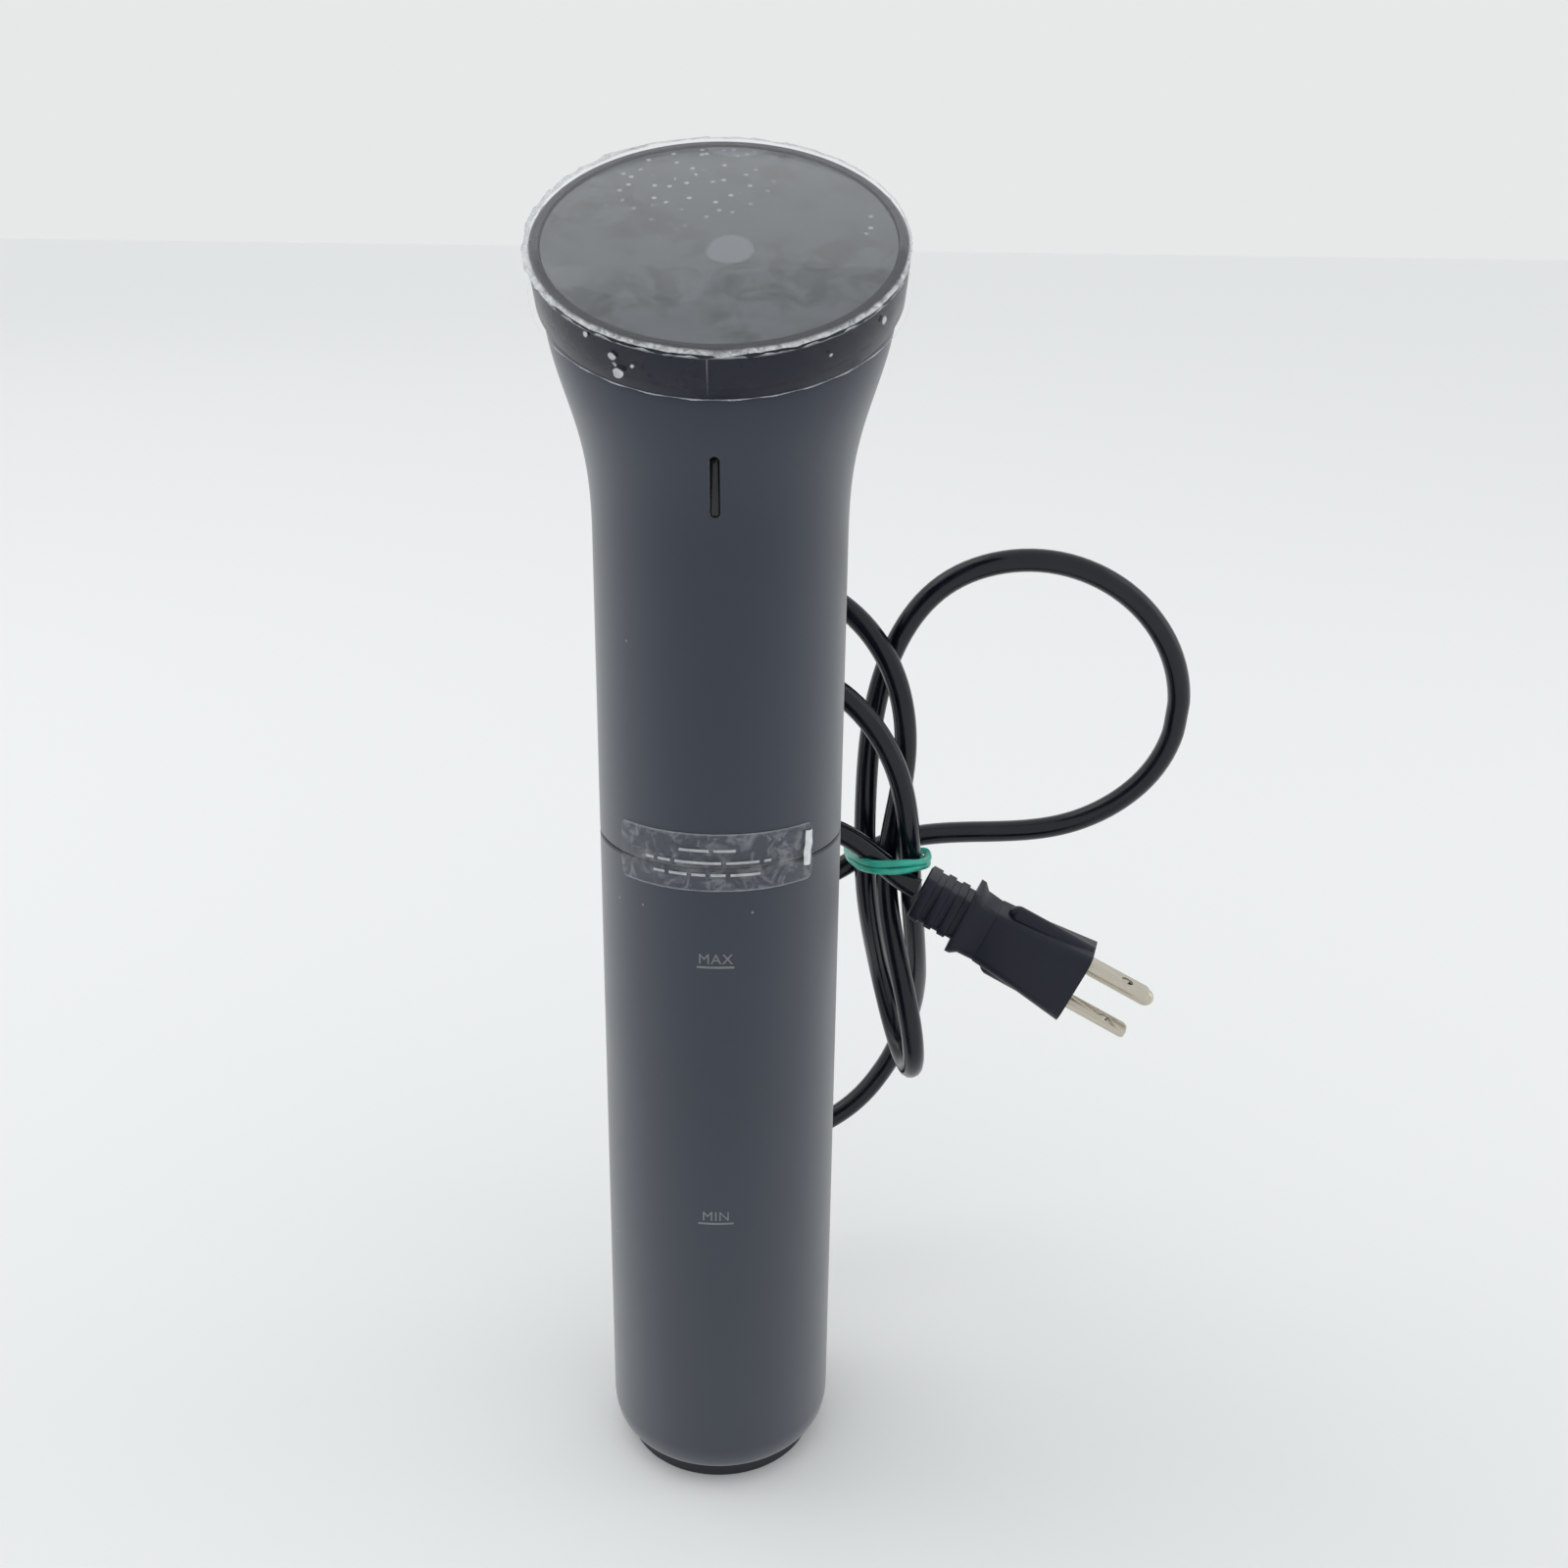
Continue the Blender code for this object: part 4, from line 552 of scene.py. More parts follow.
def brushed(name, colour, roughness, direction):
    """Metal with fine lines along one direction."""
    finish = Finish(name, colour, roughness, 1.0)
    lines = finish.noise(1.0, 4, finish.add("Mapping", "Vector", Vector=finish.place, Scale=direction))
    darker = tuple(part * 0.9 for part in colour)
    finish.paint("Base Color", finish.mix(finish.spread(lines, 0.3, 0.7), darker, colour))
    finish.paint("Roughness", finish.spread(lines, 0.3, 0.7, roughness * 0.8, roughness * 1.3))
    finish.bump(lines, 0.06, 0.03 * MM)
    return finish


# ---- Shell ----

def housing_radius(height):
    along = (height - (HEAD_HEIGHT - FLARE_LENGTH)) / FLARE_LENGTH
    return BODY_RADIUS + (FLARE_RADIUS - BODY_RADIUS) * ease(max(along, 0.0) ** 1.5)


def housing_tilt(height):
    return FACE_TILT * ease((height - (HEAD_HEIGHT - TILT_LENGTH)) / TILT_LENGTH)


def make_housing():
    """The upper shell: a ring pulled up, leaned over and widened towards the head, then given its wall."""
    bottom, top = HOUSING_LOW.z, HEAD_HEIGHT - 0.35 * MM
    lean_start = HEAD_HEIGHT - TILT_LENGTH
    levels = [bottom + RIM_CHAMFER_HEIGHT] + [lean_start + (top - lean_start) * i / 30 for i in range(31)]
    at, radius = bottom, BODY_RADIUS - RIM_CHAMFER
    shell = start_ring("housing_shell", radius, at, 128)
    for level in levels:
        wider = housing_radius(level)
        tilt = housing_tilt(level) - housing_tilt(at)
        pull_ring((0, 0, level - at), (0, 0, level), wider / radius, tilt)
        at, radius = level, wider
    close_up(fill=False)
    add_step(shell, "SOLIDIFY", thickness=SHELL_WALL, offset=-1, use_even_offset=True)
    at_lens = Matrix.Translation((0, -BODY_RADIUS, (LENS_LOW.z + LENS_HIGH.z) / 2))
    cut(shell, slot_cutter("light_slot", 2.2 * MM, 13.0 * MM, 8 * MM, at_lens))
    backwards = Matrix.Translation((0, 0, GLAND_HEIGHT)) @ Matrix.Rotation(-QUARTER_TURN, 4, "X")
    cut(shell, turned("gland_hole", [(5.5 * MM, 20 * MM), (5.5 * MM, 40 * MM)], backwards, sides=40))
    soften(shell, 0.12 * MM, 2, 50)
    smooth(shell)
    return shell


def make_skirt():
    """The lower shell, rounded in at its foot, with its intake slots at the back."""
    low, top = SKIRT_LOW.z, SKIRT_HIGH.z
    inward = SKIRT_ROUND * 0.40
    rounding = [
        (BODY_RADIUS - inward * (1 - math.sin(t)), low + SKIRT_ROUND * (1 - math.cos(t)))
        for t in (QUARTER_TURN * i / 12 for i in range(13))
    ]
    inner = BODY_RADIUS - SKIRT_WALL
    profile = [(SKIRT_MOUTH, low + 0.1 * MM)] + rounding + [
        (BODY_RADIUS, top - RIM_CHAMFER_HEIGHT), (BODY_RADIUS - RIM_CHAMFER, top), (inner, top),
        (inner, low + SKIRT_ROUND), (inner - 1.5 * MM, low + 3.5 * MM), (SKIRT_MOUTH, low + 1.8 * MM),
        (SKIRT_MOUTH, low + 0.1 * MM),
    ]
    skirt = turned("skirt_shell", profile, sides=128)
    for number in range(5):
        turn = Matrix.Rotation(math.radians(17 * (number - 2)), 4, "Z")
        place = turn @ Matrix.Translation((0, BODY_RADIUS, 51 * MM))
        cut(skirt, slot_cutter(f"intake_{number}", 3.0 * MM, 38 * MM, 6 * MM, place))
    soften(skirt, 0.15 * MM, 2, 50)
    smooth(skirt)
    return skirt


def make_foot():
    """A rubbery foot with a stepped rim and a grille of radial slots."""
    outer, rim, top, plate = FOOT_RADIUS, FOOT_STEP - 0.3 * MM, 9 * MM, 2.5 * MM
    neck, cup, step = outer - 2 * MM, outer - 4 * MM, outer - 0.25 * MM
    profile = [
        (0.2 * MM, 0), (outer - 0.7 * MM, 0), (outer - 0.2 * MM, 0.2 * MM), (outer, 0.7 * MM),
        (outer, rim - 1.6 * MM), (step, rim - 1.4 * MM), (step, rim), (neck, rim), (neck, top), (cup, top),
        (cup, plate), (0.2 * MM, plate),
    ]
    foot = turned("grip_foot", profile)
    for number in range(8):
        turn = Matrix.Rotation(math.pi / 4 * (number + 0.5), 4, "Z")
        lying = turn @ Matrix.Translation((13.4 * MM, 0, 0)) @ Matrix.Rotation(QUARTER_TURN, 4, "Y")
        place = lying @ Matrix.Rotation(QUARTER_TURN, 4, "Z")
        cut(foot, slot_cutter(f"grille_{number}", 3.0 * MM, 12 * MM, 8 * MM, place))
    smooth(foot)
    return foot


def make_bezel():
    """The band round the glass, with a rounded lip, a ledge under the glass and a sleeve into the shell."""
    foot, seat, sleeve, lip = -BEZEL_HEIGHT, -2.6 * MM, -BEZEL_HEIGHT - 2 * MM, 1.3 * MM
    inner, ledge = GLASS_RADIUS + 0.3 * MM, GLASS_RADIUS - 4.6 * MM
    rounding = [
        (BEZEL_RADIUS - lip * (1 - math.sin(t)), -lip * (1 - math.cos(t)))
        for t in (QUARTER_TURN * (1 - i / 8) for i in range(9))
    ]
    profile = [
        (BEZEL_BORE, sleeve), (BEZEL_BORE, foot), (BEZEL_FOOT_RADIUS - 0.5 * MM, foot),
        (BEZEL_FOOT_RADIUS - 0.15 * MM, foot + 0.15 * MM), (BEZEL_FOOT_RADIUS, foot + 0.5 * MM),
        (BEZEL_RADIUS - 0.10 * MM, foot * 0.5),
    ] + rounding + [
        (inner, 0.0), (inner, seat), (ledge, seat), (ledge, sleeve), (BEZEL_BORE, sleeve),
    ]
    bezel = turned("bezel_band", profile, FACE, sides=160)
    smooth(bezel, 40)
    return bezel


def make_glass():
    edge = 0.35 * MM
    profile = [
        (0.2 * MM, GLASS_BACK), (GLASS_RADIUS, GLASS_BACK), (GLASS_RADIUS, GLASS_TOP - edge),
        (GLASS_RADIUS - 0.3 * edge, GLASS_TOP - 0.3 * edge), (GLASS_RADIUS - edge, GLASS_TOP),
        (0.2 * MM, GLASS_TOP),
    ]
    glass = turned("face_pane", profile, FACE, sides=160)
    smooth(glass, 25)
    return glass


def wave(turn, *parts):
    """A smooth uneven wave round a circle, as a sum of (count, size, phase)."""
    return sum(size * math.sin(count * turn + phase) for count, size, phase in parts)


def make_face_film():
    """A round film a little larger than the face, crinkled and torn round its edge."""
    rings = [39.9, 39.6, 39.3, 38.9, 38.4, 37.6, 34.0, 24.0, 12.0, 0.4]
    free_radius, free_width = 38.2 * MM, 1.7 * MM
    film = turned("face_cover_film", [(radius * MM, 0.30 * MM) for radius in rings], sides=240)
    for corner in film.data.vertices:
        radius = math.hypot(corner.co.x, corner.co.y)
        turn = math.atan2(corner.co.y, corner.co.x)
        edge = (radius - free_radius) / free_width
        if edge <= 0:
            continue
        crinkle = wave(turn, (23, 0.16, 0.4), (41, 0.14, 1.9), (67, 0.10, 0.7), (97, 0.07, 2.2))
        ragged = wave(turn, (17, 0.16, 1.1), (37, 0.13, 0.2), (71, 0.10, 2.6), (113, 0.08, 0.9))
        front = ease((-math.sin(turn) + 0.15) / 0.6)
        stray = ease((math.cos(turn - math.radians(165)) - 0.55) / 0.35)
        back = ease((math.sin(turn) - 0.55) / 0.3)
        outward = edge * (0.35 * front + 0.75 * stray + 0.25 * back + ragged * (0.45 + 0.45 * stray))
        lift = edge * (crinkle * (0.4 + 0.5 * stray + 0.3 * back) + 0.12) - edge**2 * front * 1.05
        notch = math.exp(-((turn + math.radians(88)) / 0.055) ** 2) * edge
        scale = (radius + (outward + 0.1 * notch) * MM) / radius
        corner.co.x *= scale
        corner.co.y *= scale
        corner.co.z += (lift - 0.6 * notch) * MM
    add_step(film, "SOLIDIFY", thickness=0.06 * MM, offset=1)
    place_piece(film, FACE)
    smooth(film, 60)
    return film


def make_hem_film():
    """The strip of film down the band, with a ragged top, one upright seam and a free lower hem."""
    top, hem = -1.3, -10.9
    profile = []
    for level in (hem, -10.7, -9.2, -7.4, -5.6, -3.8, -2.2, top):
        skin = BEZEL_FOOT_RADIUS / MM + 0.3 * min(1.0, (level + 11.7) / 5.85)
        loose = 0.34 + 0.75 * ((top - level) / (top - hem)) ** 1.5
        profile.append(((skin + loose) * MM, level * MM))
    film = turned("band_hem_film", profile, sides=240, fill=False)
    for corner in film.data.vertices:
        turn = math.atan2(corner.co.y, corner.co.x)
        upper = max(0.0, (corner.co.z / MM + 3.4) / 2.1)
        lower = max(0.0, (-corner.co.z / MM - 9.4) / 1.5)
        ripple = wave(turn, (19, 0.05, 0.3), (43, 0.05, 1.2), (89, 0.04, 2.0))
        torn = wave(turn, (29, 0.22, 0.8), (53, 0.18, 2.1), (101, 0.12, 0.5))
        corner.co.z += MM * (upper * torn + lower * wave(turn, (31, 0.12, 0.0)))
        away = 1 + (abs(ripple) * 0.5 + upper * 0.06 + lower * 0.10) / 39.8
        corner.co.x *= away
        corner.co.y *= away
    add_step(film, "SOLIDIFY", thickness=0.05 * MM, offset=1)
    place_piece(film, FACE)
    smooth(film, 60)
    return film


def make_lens():
    """The dark status light, with round ends, sunk in its slot."""
    size = LENS_HIGH - LENS_LOW
    middle = Matrix.Translation((LENS_LOW + LENS_HIGH) / 2)
    lens = slot_cutter("status_light", size.x, size.z, size.y, middle)
    soften(lens, 0.2 * MM, 2, 50)
    smooth(lens)
    return lens


# ---- Marks and label ----

def wrap_round(piece, radius):
    """Bends a flat piece, which lies in X and Z with its thickness along -Y, round the body."""
    for corner in piece.data.vertices:
        turn = corner.co.x / radius - math.pi / 2
        reach = radius - corner.co.y
        corner.co.x, corner.co.y = reach * math.cos(turn), reach * math.sin(turn)


def flat_strip(name, width, height, columns, rows):
    bpy.ops.object.select_all(action="DESELECT")
    bpy.ops.mesh.primitive_grid_add(
        x_subdivisions=columns, y_subdivisions=rows, size=1, rotation=(QUARTER_TURN, 0, 0),
    )
    strip = bpy.context.active_object
    strip.name = name
    strip.scale = (width, height, 1)
    bpy.ops.object.transform_apply(location=False, rotation=True, scale=True)
    return strip


def join_pieces(name, pieces):
    bpy.ops.object.select_all(action="DESELECT")
    for piece in pieces:
        piece.select_set(True)
    bpy.context.view_layer.objects.active = pieces[0]
    bpy.ops.object.join()
    whole = bpy.context.active_object
    whole.name = name
    return whole


def make_level_mark(name, word, line_height):
    """A printed water mark: a word over a line."""
    bpy.ops.object.select_all(action="DESELECT")
    bpy.ops.object.text_add(rotation=(QUARTER_TURN, 0, 0))
    text = bpy.context.active_object
    text.data.body = word
    text.data.align_x = "CENTER"
    text.data.size = 3.6 * MM
    text.data.space_character = 1.08
    bpy.ops.object.convert(target="MESH")
    word_piece = bpy.context.active_object
    place_piece(word_piece, Matrix.Translation((0, 0, line_height + 0.85 * MM)))
    line = flat_strip(name + "_line", 8.6 * MM, 0.55 * MM, 16, 1)
    place_piece(line, Matrix.Translation((0, 0, line_height)))
    mark = join_pieces(name, [word_piece, line])
    select_only(mark)
    bpy.ops.object.mode_set(mode="EDIT")
    bpy.ops.mesh.select_all(action="SELECT")
    bpy.ops.mesh.subdivide(number_cuts=1)
    bpy.ops.object.mode_set(mode="OBJECT")
    add_step(mark, "SOLIDIFY", thickness=0.03 * MM, offset=0)
    wrap_round(mark, BODY_RADIUS + 0.03 * MM)
    return mark


def make_label():
    """A clear sticker across the seam, with round corners and ends that lift a little."""
    radius = BODY_RADIUS + 0.30 * MM
    width = 2 * math.radians(48) * radius
    label = flat_strip("seam_sticker", width, LABEL_HEIGHT, 72, 10)
    corner_radius = 1.6 * MM
    straight_x, straight_z = width / 2 - corner_radius, LABEL_HEIGHT / 2 - corner_radius
    for corner in label.data.vertices:
        over_x, over_z = abs(corner.co.x) - straight_x, abs(corner.co.z) - straight_z
        if over_x > 0 and over_z > 0:
            pull = min(1.0, corner_radius / math.hypot(over_x, over_z))
            corner.co.x = math.copysign(straight_x + over_x * pull, corner.co.x)
            corner.co.z = math.copysign(straight_z + over_z * pull, corner.co.z)
        end = max(0.0, abs(corner.co.x) / (width / 2) - 0.93) / 0.07
        corner.co.y -= MM * end * (0.12 + 0.10 * math.sin(corner.co.z * 1400))
    add_step(label, "SOLIDIFY", thickness=0.08 * MM, offset=1)
    place_piece(label, Matrix.Translation((0, 0, LABEL_MIDDLE)))
    wrap_round(label, radius)
    smooth(label, 40)
    return label


def make_label_fold():
    """The white, doubled-over end of the sticker."""
    radius = BODY_RADIUS + 0.45 * MM
    fold = flat_strip("sticker_fold", 2.2 * MM, 8.4 * MM, 6, 12)
    for corner in fold.data.vertices:
        across = corner.co.x / (1.1 * MM)
        corner.co.y -= MM * (0.55 * (1 - across**2) + 0.08 * math.sin(corner.co.z * 1900))
        corner.co.x += 0.25 * MM * math.sin(corner.co.z * 600)
        corner.co.x *= 0.75 + 0.25 * math.cos(corner.co.z / (5.2 * MM) * 1.4)
    add_step(fold, "SOLIDIFY", thickness=0.12 * MM, offset=1)
    place_piece(fold, Matrix.Translation((22.9 * MM, 0, LABEL_MIDDLE + 1.0 * MM)))
    wrap_round(fold, radius)
    smooth(fold, 50)
    return fold


def make_label_lines():
    """Short printed dashes in rows, where a label's small print would be."""
    rows = [  # height, left end, and the lengths of the dashes, in millimetres
        (2.9, -8.3, (6.8, 4.9)),
        (0.0, -16.6, (2.0, 3.1, 10.6, 7.6, 1.7)),
        (-2.9, -14.6, (2.8, 4.2, 3.2, 3.4, 6.8)),
    ]
    pieces = []
    for height, left, lengths in rows:
        for length in lengths:
            dash = flat_strip("dash", length * MM, 0.62 * MM, 8, 1)
            place = ((left + length / 2) * MM, 0, LABEL_MIDDLE + height * MM)
            place_piece(dash, Matrix.Translation(place))
            pieces.append(dash)
            left += length + 1.1
    lines = join_pieces("sticker_dashes", pieces)
    add_step(lines, "SOLIDIFY", thickness=0.03 * MM, offset=0)
    wrap_round(lines, BODY_RADIUS + 0.42 * MM)
    return lines


# ---- Strain relief, cord and tie ----

def make_strain_relief():
    """A bent, tapered boot with a collar against the shell and ribs along its tail."""
    wall, height = BODY_RADIUS + 0.9 * MM, GLAND_HEIGHT
    tip = CORD_START - CORD_START_DIRECTION * 0.9 * MM
    stub, collar, tail, end = 5.2 * MM, 6.8 * MM, 5.6 * MM, 4.3 * MM
    stations = [
        ((y, height), 0.0, radius) for y, radius in (
            (24.2 * MM, stub), (wall, stub), (wall, collar - 0.4 * MM), (wall + 0.4 * MM, collar),
            (wall + 1.6 * MM, collar), (wall + 2.2 * MM, collar - 0.6 * MM), (wall + 2.4 * MM, tail),
        )
    ]
    start = Vector((0, wall + 2.4 * MM, height))
    bend = math.acos(CORD_START_DIRECTION.y)
    steps = 28
    for i in range(1, steps + 1):
        share = i / steps
        along = start.lerp(tip, share) + Vector((0, 0, 3.15 * MM)) * math.sin(math.pi * share)
        radius = tail + (end - tail) * share
        if i % 4 in (1, 2) and share < 0.97:
            radius -= 0.45 * MM
        stations.append(((along.y, along.z), bend * ease(share), radius))
    boot = start_ring("strain_relief", stub, 0, 48)
    bpy.ops.transform.rotate(value=QUARTER_TURN, orient_axis="X", center_override=(0, 0, 0))
    (at_y, at_z), tilt, radius = stations[0]
    bpy.ops.transform.translate(value=(0, at_y, at_z))
    for (y, z), next_tilt, next_radius in stations[1:]:
        pull_ring((0, y - at_y, z - at_z), (0, y, z), next_radius / radius, tilt - next_tilt)
        at_y, at_z, tilt, radius = y, z, next_tilt, next_radius
    close_up()
    soften(boot, 0.12 * MM, 2, 40)
    smooth(boot, 40)
    return boot


def smooth_curve(route, count, start=None, end=None):
    """Points evenly spaced along a natural cubic spline through the route, with end directions if given."""
    points = np.array([tuple(p) for p in route])
    knots = np.concatenate([[0], np.cumsum(np.linalg.norm(np.diff(points, axis=0), axis=1))])
    steps = np.diff(knots)
    slopes = np.diff(points, axis=0) / steps[:, None]
    matrix = np.eye(len(points))
    right = np.zeros_like(points)
    for i in range(1, len(points) - 1):
        matrix[i, i - 1 : i + 2] = steps[i - 1], 2 * (steps[i - 1] + steps[i]), steps[i]
        right[i] = 6 * (slopes[i] - slopes[i - 1])
    if start is not None:
        matrix[0, :2] = 2 * steps[0], steps[0]
        right[0] = 6 * (slopes[0] - np.array(start))
    if end is not None:
        matrix[-1, -2:] = steps[-1], 2 * steps[-1]
        right[-1] = 6 * (np.array(end) - slopes[-1])
    bends = np.linalg.solve(matrix, right)

    def position(at):
        i = min(int(np.searchsorted(knots, at, side="right")) - 1, len(steps) - 1)
        before, after, step = at - knots[i], knots[i + 1] - at, steps[i]
        return (
            (bends[i] * after**3 + bends[i + 1] * before**3) / (6 * step)
            + (points[i] / step - bends[i] * step / 6) * after
            + (points[i + 1] / step - bends[i + 1] * step / 6) * before
        )

    fine = np.array([position(at) for at in np.linspace(0, knots[-1], 20 * len(points))])
    run = np.concatenate([[0], np.cumsum(np.linalg.norm(np.diff(fine, axis=0), axis=1))])
    even = np.linspace(0, run[-1], count)
    return [Vector([float(np.interp(at, run, fine[:, axis])) for axis in range(3)]) for at in even]


def curve_piece(name, points, radius, cyclic=False, resolution=5):
    curve = bpy.data.curves.new(name, "CURVE")
    curve.dimensions = "3D"
    curve.bevel_depth = radius
    curve.bevel_resolution = resolution
    curve.use_fill_caps = not cyclic
    spline = curve.splines.new("POLY")
    spline.points.add(len(points) - 1)
    for target, point in zip(spline.points, points):
        target.co = (*point, 1)
    spline.use_cyclic_u = cyclic
    spline.use_smooth = True
    piece = bpy.data.objects.new(name, curve)
    bpy.context.scene.collection.objects.link(piece)
    return piece


def make_cord():
    """The cord as one round curve along its route, held inside the frame's box, and its length."""
    points = smooth_curve(CORD_ROUTE, 520, CORD_START_DIRECTION, PLUG_AXIS)
    low, high = (Vector(corner) for corner in cad_box)
    reach = Vector((1, 1, 1)) * (CORD_DIAMETER / 2 + 0.05 * MM)
    points = [Vector(map(max, low + reach, map(min, high - reach, point))) for point in points]
    length = sum((b - a).length for a, b in zip(points, points[1:]))
    return curve_piece("mains_cord", points, CORD_DIAMETER / 2), length


def make_tie():
    """Two runs of coated wire, one above the other, round the bundle."""
    count = 240
    loop = smooth_curve(TIE_LOOP + TIE_LOOP[:3], count)
    halves = range(count // 2), range(count // 2, count)
    first, last = (min(half, key=lambda i: (loop[i] - Vector(TIE_LOOP[1])).length) for half in halves)
    loop = loop[first:last]
    middle = sum(loop, Vector()) / len(loop)
    runs = []
    for number, (rise, inward, phase) in enumerate(((0.90, 0.0, 0.0), (-0.90, 0.15, 1.7))):
        points = []
        for i, point in enumerate(loop):
            turn = 2 * math.pi * i / len(loop)
            outward = (point - middle).normalized()
            wobble = 0.25 * math.sin(3 * turn + phase) + 0.12 * math.sin(7 * turn + 2 * phase)
            points.append(point + Vector((0, 0, (rise + wobble) * MM)) - outward * (inward + 0.45) * MM)
        runs.append(curve_piece(f"tie_run_{number}", points, 1.0 * MM, cyclic=True, resolution=3))
    for run in runs:
        select_only(run)
        bpy.ops.object.convert(target="MESH")
    tie = join_pieces("twist_band", runs)
    smooth(tie, 60)
    return tie


# ---- Plug ----

def start_rounded(name, half_x, half_y, middle, corner, height):
    """A rounded rectangle in edit mode, with its outline selected."""
    bpy.ops.object.select_all(action="DESELECT")
    bpy.ops.mesh.primitive_plane_add(size=2, location=(0, 0, 0))
    piece = bpy.context.active_object
    piece.name = name
    piece.scale = (half_x, half_y, 1)
    piece.location = (0, middle, height)
    bpy.ops.object.transform_apply(location=True, rotation=False, scale=True)
    bpy.ops.object.mode_set(mode="EDIT")
    bpy.ops.mesh.select_all(action="SELECT")
    bpy.ops.mesh.bevel(offset=corner, segments=6, affect="VERTICES")
    bpy.ops.mesh.select_all(action="SELECT")
    return piece


def pull_outline(old, new):
    """Extrudes the outline from one station, (height, half x, half y, middle), to the next."""
    bpy.ops.mesh.extrude_region_move(TRANSFORM_OT_translate={"value": (0, new[3] - old[3], new[0] - old[0])})
    bpy.ops.transform.resize(value=(new[1] / old[1], new[2] / old[2], 1), center_override=(0, new[3], new[0]))


def make_plug():
    """The moulded plug: a ribbed relief, a shoulder, a waisted body and the housings along its contacts."""
    # Height, half width, half depth and how far the middle lies forward, in millimetres.
    stations = [(0.0, 6.0, 6.0, 0.0), (0.5, 6.8, 6.8, 0.0), (3.2, 6.8, 6.8, 0.0)]
    for start in (3.2, 7.4, 11.6):
        stations += [(start + 0.15, 6.3, 6.3, 0.0), (start + 1.85, 6.3, 6.3, 0.0)]
        if start < 11:
            stations += [(start + 2.0, 6.8, 6.8, 0.0), (start + 4.2, 6.8, 6.8, 0.0)]
    stations += [
        (13.5, 9.7, 8.2, 0.0), (14.9, 9.6, 8.2, -0.1), (16.6, 8.2, 7.3, -0.8), (21.2, 7.8, 7.1, -1.2),
        (21.3, 8.0, 7.3, -1.2), (34.0, 9.0, 7.8, -1.7), (48.4, 10.6, 8.5, -2.1),
    ]
    body = start_rounded("plug_shell", 6.0 * MM, 6.0 * MM, 0, 2.6 * MM, 0)
    for old, new in zip(stations, stations[1:]):
        pull_outline([value * MM for value in old], [value * MM for value in new])
    close_up()
    ridges = ((8.4, -2.1, 2.8, 23.6), (-8.4, -2.1, 2.8, 23.6), (0, 9.4, 4.6, 22.0))
    for x, y, radius, start in ridges:
        nose = [
            (max(0.1, radius * math.sin(t)) * MM, (start + radius * (1 - math.cos(t))) * MM)
            for t in (math.pi / 16 * i for i in range(9))
        ]
        place = Matrix.Translation((x * MM, y * MM, 0))
        ridge = turned("ridge", nose + [(radius * MM, PLUG_FRONT - 0.4 * MM)], place, sides=40)
        cut(body, ridge, "UNION")
    room = 0.3 * MM
    for side in (-1, 1):
        size = (*(along + 2 * room for along in BLADE_SIZE), 2 * (CONTACT_DEPTH + room))
        cut(body, start_box("pocket", size, (side * BLADE_OFFSET, BLADE_LINE, PLUG_FRONT)))
    bore = PIN_RADIUS + room
    hole = [(bore, PLUG_FRONT - CONTACT_DEPTH - room), (bore, PLUG_FRONT + 2 * MM)]
    cut(body, turned("pin_hole", hole, Matrix.Translation((0, PIN_LINE, 0)), sides=40))
    soften(body, 0.35 * MM, 3, 38)
    place_piece(body, PLUG)
    smooth(body, 45)
    return body


def make_blade(name, side):
    """A flat contact with clipped corners and a hole."""
    low, high = PLUG_FRONT - CONTACT_DEPTH, PLUG_FRONT + BLADE_LENGTH
    place = (side * BLADE_OFFSET, BLADE_LINE, (low + high) / 2)
    blade = start_box(name, (*BLADE_SIZE, high - low), place)
    bevel_edges(
        blade, lambda one, other: abs(one.x - other.x) > MM and min(one.z, other.z) > PLUG_FRONT, 1.6 * MM, 3,
    )
    middle = Matrix.Translation((side * BLADE_OFFSET, BLADE_LINE, BLADE_HOLE_HEIGHT))
    across = middle @ Matrix.Rotation(QUARTER_TURN, 4, "Y")
    hole = [(BLADE_HOLE_RADIUS, -3 * MM), (BLADE_HOLE_RADIUS, 3 * MM)]
    cut(blade, turned("blade_hole", hole, across, sides=32))
    soften(blade, 0.16 * MM, 2, 30)
    place_piece(blade, PLUG)
    smooth(blade, 35)
    return blade


def make_ground_pin():
    """A round pin with a domed end and a slit across it."""
    low, high = PLUG_FRONT - CONTACT_DEPTH, PLUG_FRONT + PIN_LENGTH
    dome = [
        (max(0.1 * MM, PIN_RADIUS * math.cos(t)), high - PIN_RADIUS + PIN_RADIUS * math.sin(t))
        for t in (math.pi / 16 * i for i in range(9))
    ]
    pin = turned("ground_post", [(PIN_RADIUS, low)] + dome, Matrix.Translation((0, PIN_LINE, 0)), sides=48)
    at_end = Matrix.Translation((0, PIN_LINE, high - 1.2 * MM)) @ Matrix.Rotation(math.radians(60), 4, "Z")
    cut(pin, slot_cutter("slit", 0.9 * MM, 5.4 * MM, 6 * MM, at_end))
    soften(pin, 0.1 * MM, 2, 40)
    place_piece(pin, PLUG)
    smooth(pin, 40)
    return pin


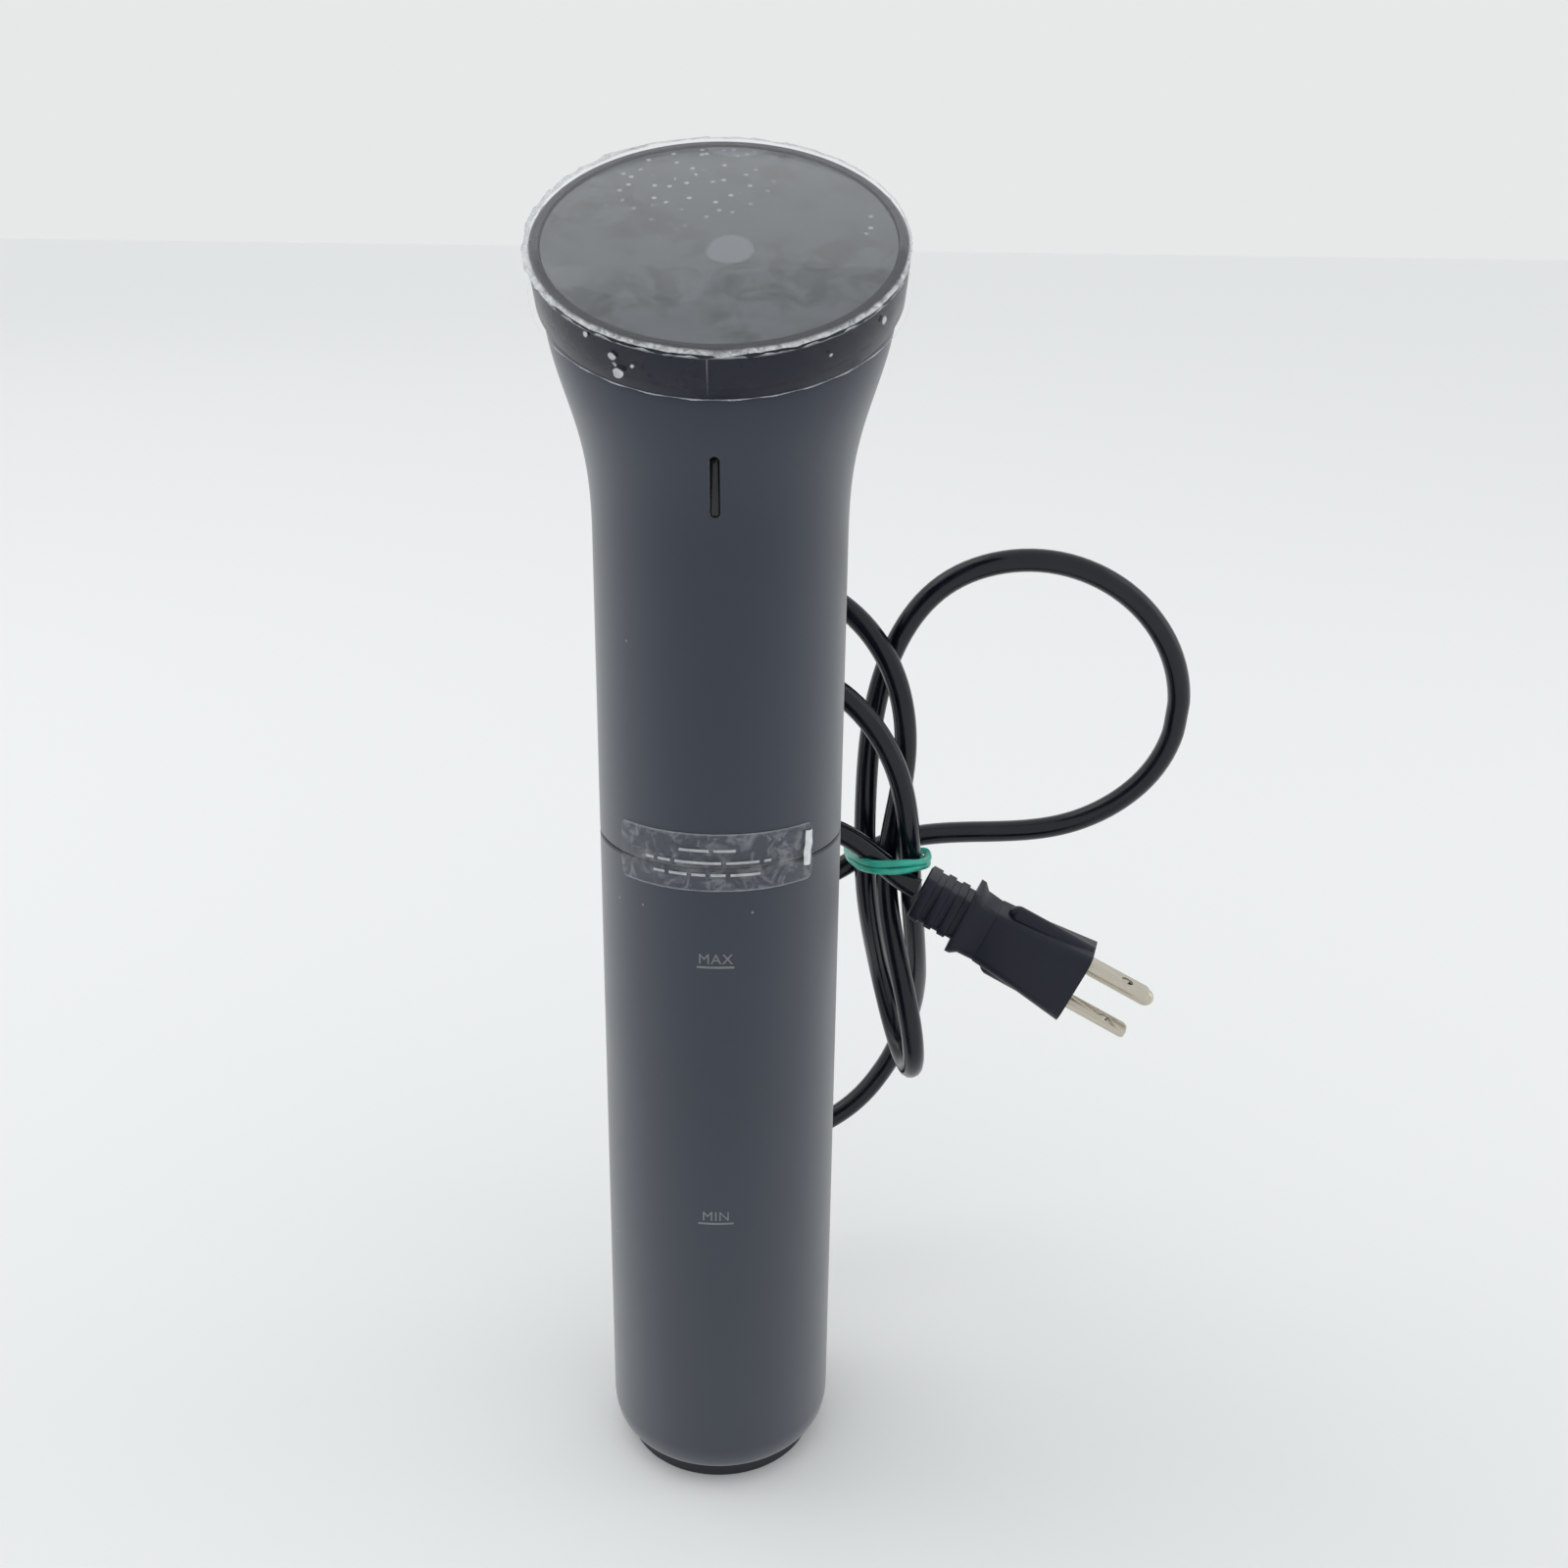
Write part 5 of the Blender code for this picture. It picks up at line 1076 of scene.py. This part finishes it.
def dress_inner_nodes():
    """Gives the frame's inner nodes their finishes, which show only through the slots."""
    metal = brushed("inner_steel", (0.60, 0.60, 0.62), 0.26, (900, 900, 40))
    aluminium = brushed("inner_aluminium", (0.72, 0.72, 0.74), 0.34, (60, 900, 60))
    copper = brushed("wound_copper", (0.72, 0.33, 0.17), 0.34, (300, 300, 1500))
    board = plain_finish("solder_mask", (0.012, 0.10, 0.045), (0.02, 0.16, 0.07), 0.32, 160, 0.2)
    white = plain_finish("moulded_white", (0.62, 0.62, 0.60), (0.74, 0.74, 0.72), 0.42, 50, 0.25)
    blue = plain_finish("blue_sleeve", (0.02, 0.07, 0.28), (0.03, 0.10, 0.36), 0.34, 90, 0.2)
    rubber = plain_finish("inner_rubber", (0.012, 0.012, 0.014), (0.02, 0.02, 0.022), 0.6, 90, 0.3)
    black = plain_finish("inner_plastic", (0.018, 0.019, 0.022), (0.028, 0.029, 0.033), 0.5, 60, 0.3)
    groups = {
        metal: "heater_coil shaft_tube drive_shaft motor_shaft shaft_coupling motor_can motor_mount "
        "impeller_nut temperature_probe min_level_probe max_level_probe bulkhead_screw_1 bulkhead_screw_2 "
        "bulkhead_screw_3 motor_screw_1 motor_screw_2 board_screw_1 board_screw_2 wifi_module",
        aluminium: "heat_sink",
        copper: "choke motor_rotor",
        board: "touch_board status_board control_board power_board",
        white: "display_module board_frame lower_bush impeller",
        blue: "relay capacitor",
        rubber: "seam_ring shaft_seal glass_gasket motor_magnet",
        black: "bulkhead motor_end_bell pump_shroud",
    }
    for finish, names in groups.items():
        finish.put_on(*(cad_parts[name] for name in names.split()))


def settle(piece, finish, node_slot, *nodes):
    """Gives a piece its finish and its body, and hides the frame nodes that it stands for; the node_slot
    argument is not used.
    """
    finish.put_on(piece)
    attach(piece, "body")
    if nodes:
        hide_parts(*nodes)


add_camera()
add_studio()

slate, gloss, vinyl = slate_plastic(), gloss_black(), cord_vinyl()
nickel = brushed("contact_nickel", (0.60, 0.55, 0.47), 0.22, (2600, 2600, 2600))
pin_metal = brushed("pin_metal", (0.62, 0.57, 0.47), 0.20, (2600, 2600, 2600))
marks = plain_finish("printed_grey", (0.15, 0.155, 0.165), (0.20, 0.205, 0.215), 0.5, 300)
print_white = plain_finish("printed_white", (0.34, 0.35, 0.37), (0.52, 0.53, 0.55), 0.4, 900)
band_green = plain_finish("band_green", (0.020, 0.36, 0.26), (0.040, 0.50, 0.38), 0.34, 260, 0.2)
foot_rubber = plain_finish("foot_rubber", (0.010, 0.012, 0.018), (0.016, 0.019, 0.027), 0.50, 120, 0.4)
plug_vinyl = plain_finish(
    "plug_vinyl", (0.0045, 0.0070, 0.0170), (0.0075, 0.0105, 0.0220), 0.36, 110, 0.35, IOR=1.38,
)
lens_dark = plain_finish("lens_dark", (0.006, 0.006, 0.008), (0.010, 0.010, 0.012), 0.18, 200)
fold_white = plain_finish("creased_white", (0.60, 0.62, 0.65), (0.82, 0.83, 0.85), 0.30, 500)

settle(make_housing(), slate, "black_plastic", "upper_housing")
settle(make_skirt(), slate, "black_plastic", "skirt")
settle(make_foot(), foot_rubber, "dark_rubber", "foot_cap")
settle(make_bezel(), gloss, "gloss_black", "head_bezel")
settle(make_glass(), face_glass(), "smoked_glass", "display_glass")
settle(make_face_film(), face_film(), "clear_film", "screen_film")
settle(make_hem_film(), band_film(), "clear_film", "band_film")
settle(make_lens(), lens_dark, "gloss_black", "status_lens")
settle(make_level_mark("max_mark", "MAX", 149.0 * MM), marks, "white_plastic")
settle(make_level_mark("min_mark", "MIN", 80.5 * MM), marks, "white_plastic")
settle(make_label(), label_film(), "clear_film", "service_label")
settle(make_label_lines(), print_white, "clear_film")
settle(make_label_fold(), fold_white, "clear_film")
settle(make_strain_relief(), vinyl, "dark_rubber", "cord_gland")
cord, cord_length = make_cord()
settle(cord, vinyl, "dark_rubber", "power_cord")
settle(make_tie(), band_green, "green_band", "cord_tie")
settle(make_plug(), plug_vinyl, "dark_rubber", "plug_body")
settle(make_blade("upper_blade", -1), nickel, "nickel", "blade_right")
settle(make_blade("lower_blade", 1), nickel, "nickel", "blade_left")
settle(make_ground_pin(), pin_metal, "nickel", "ground_pin")
dress_inner_nodes()
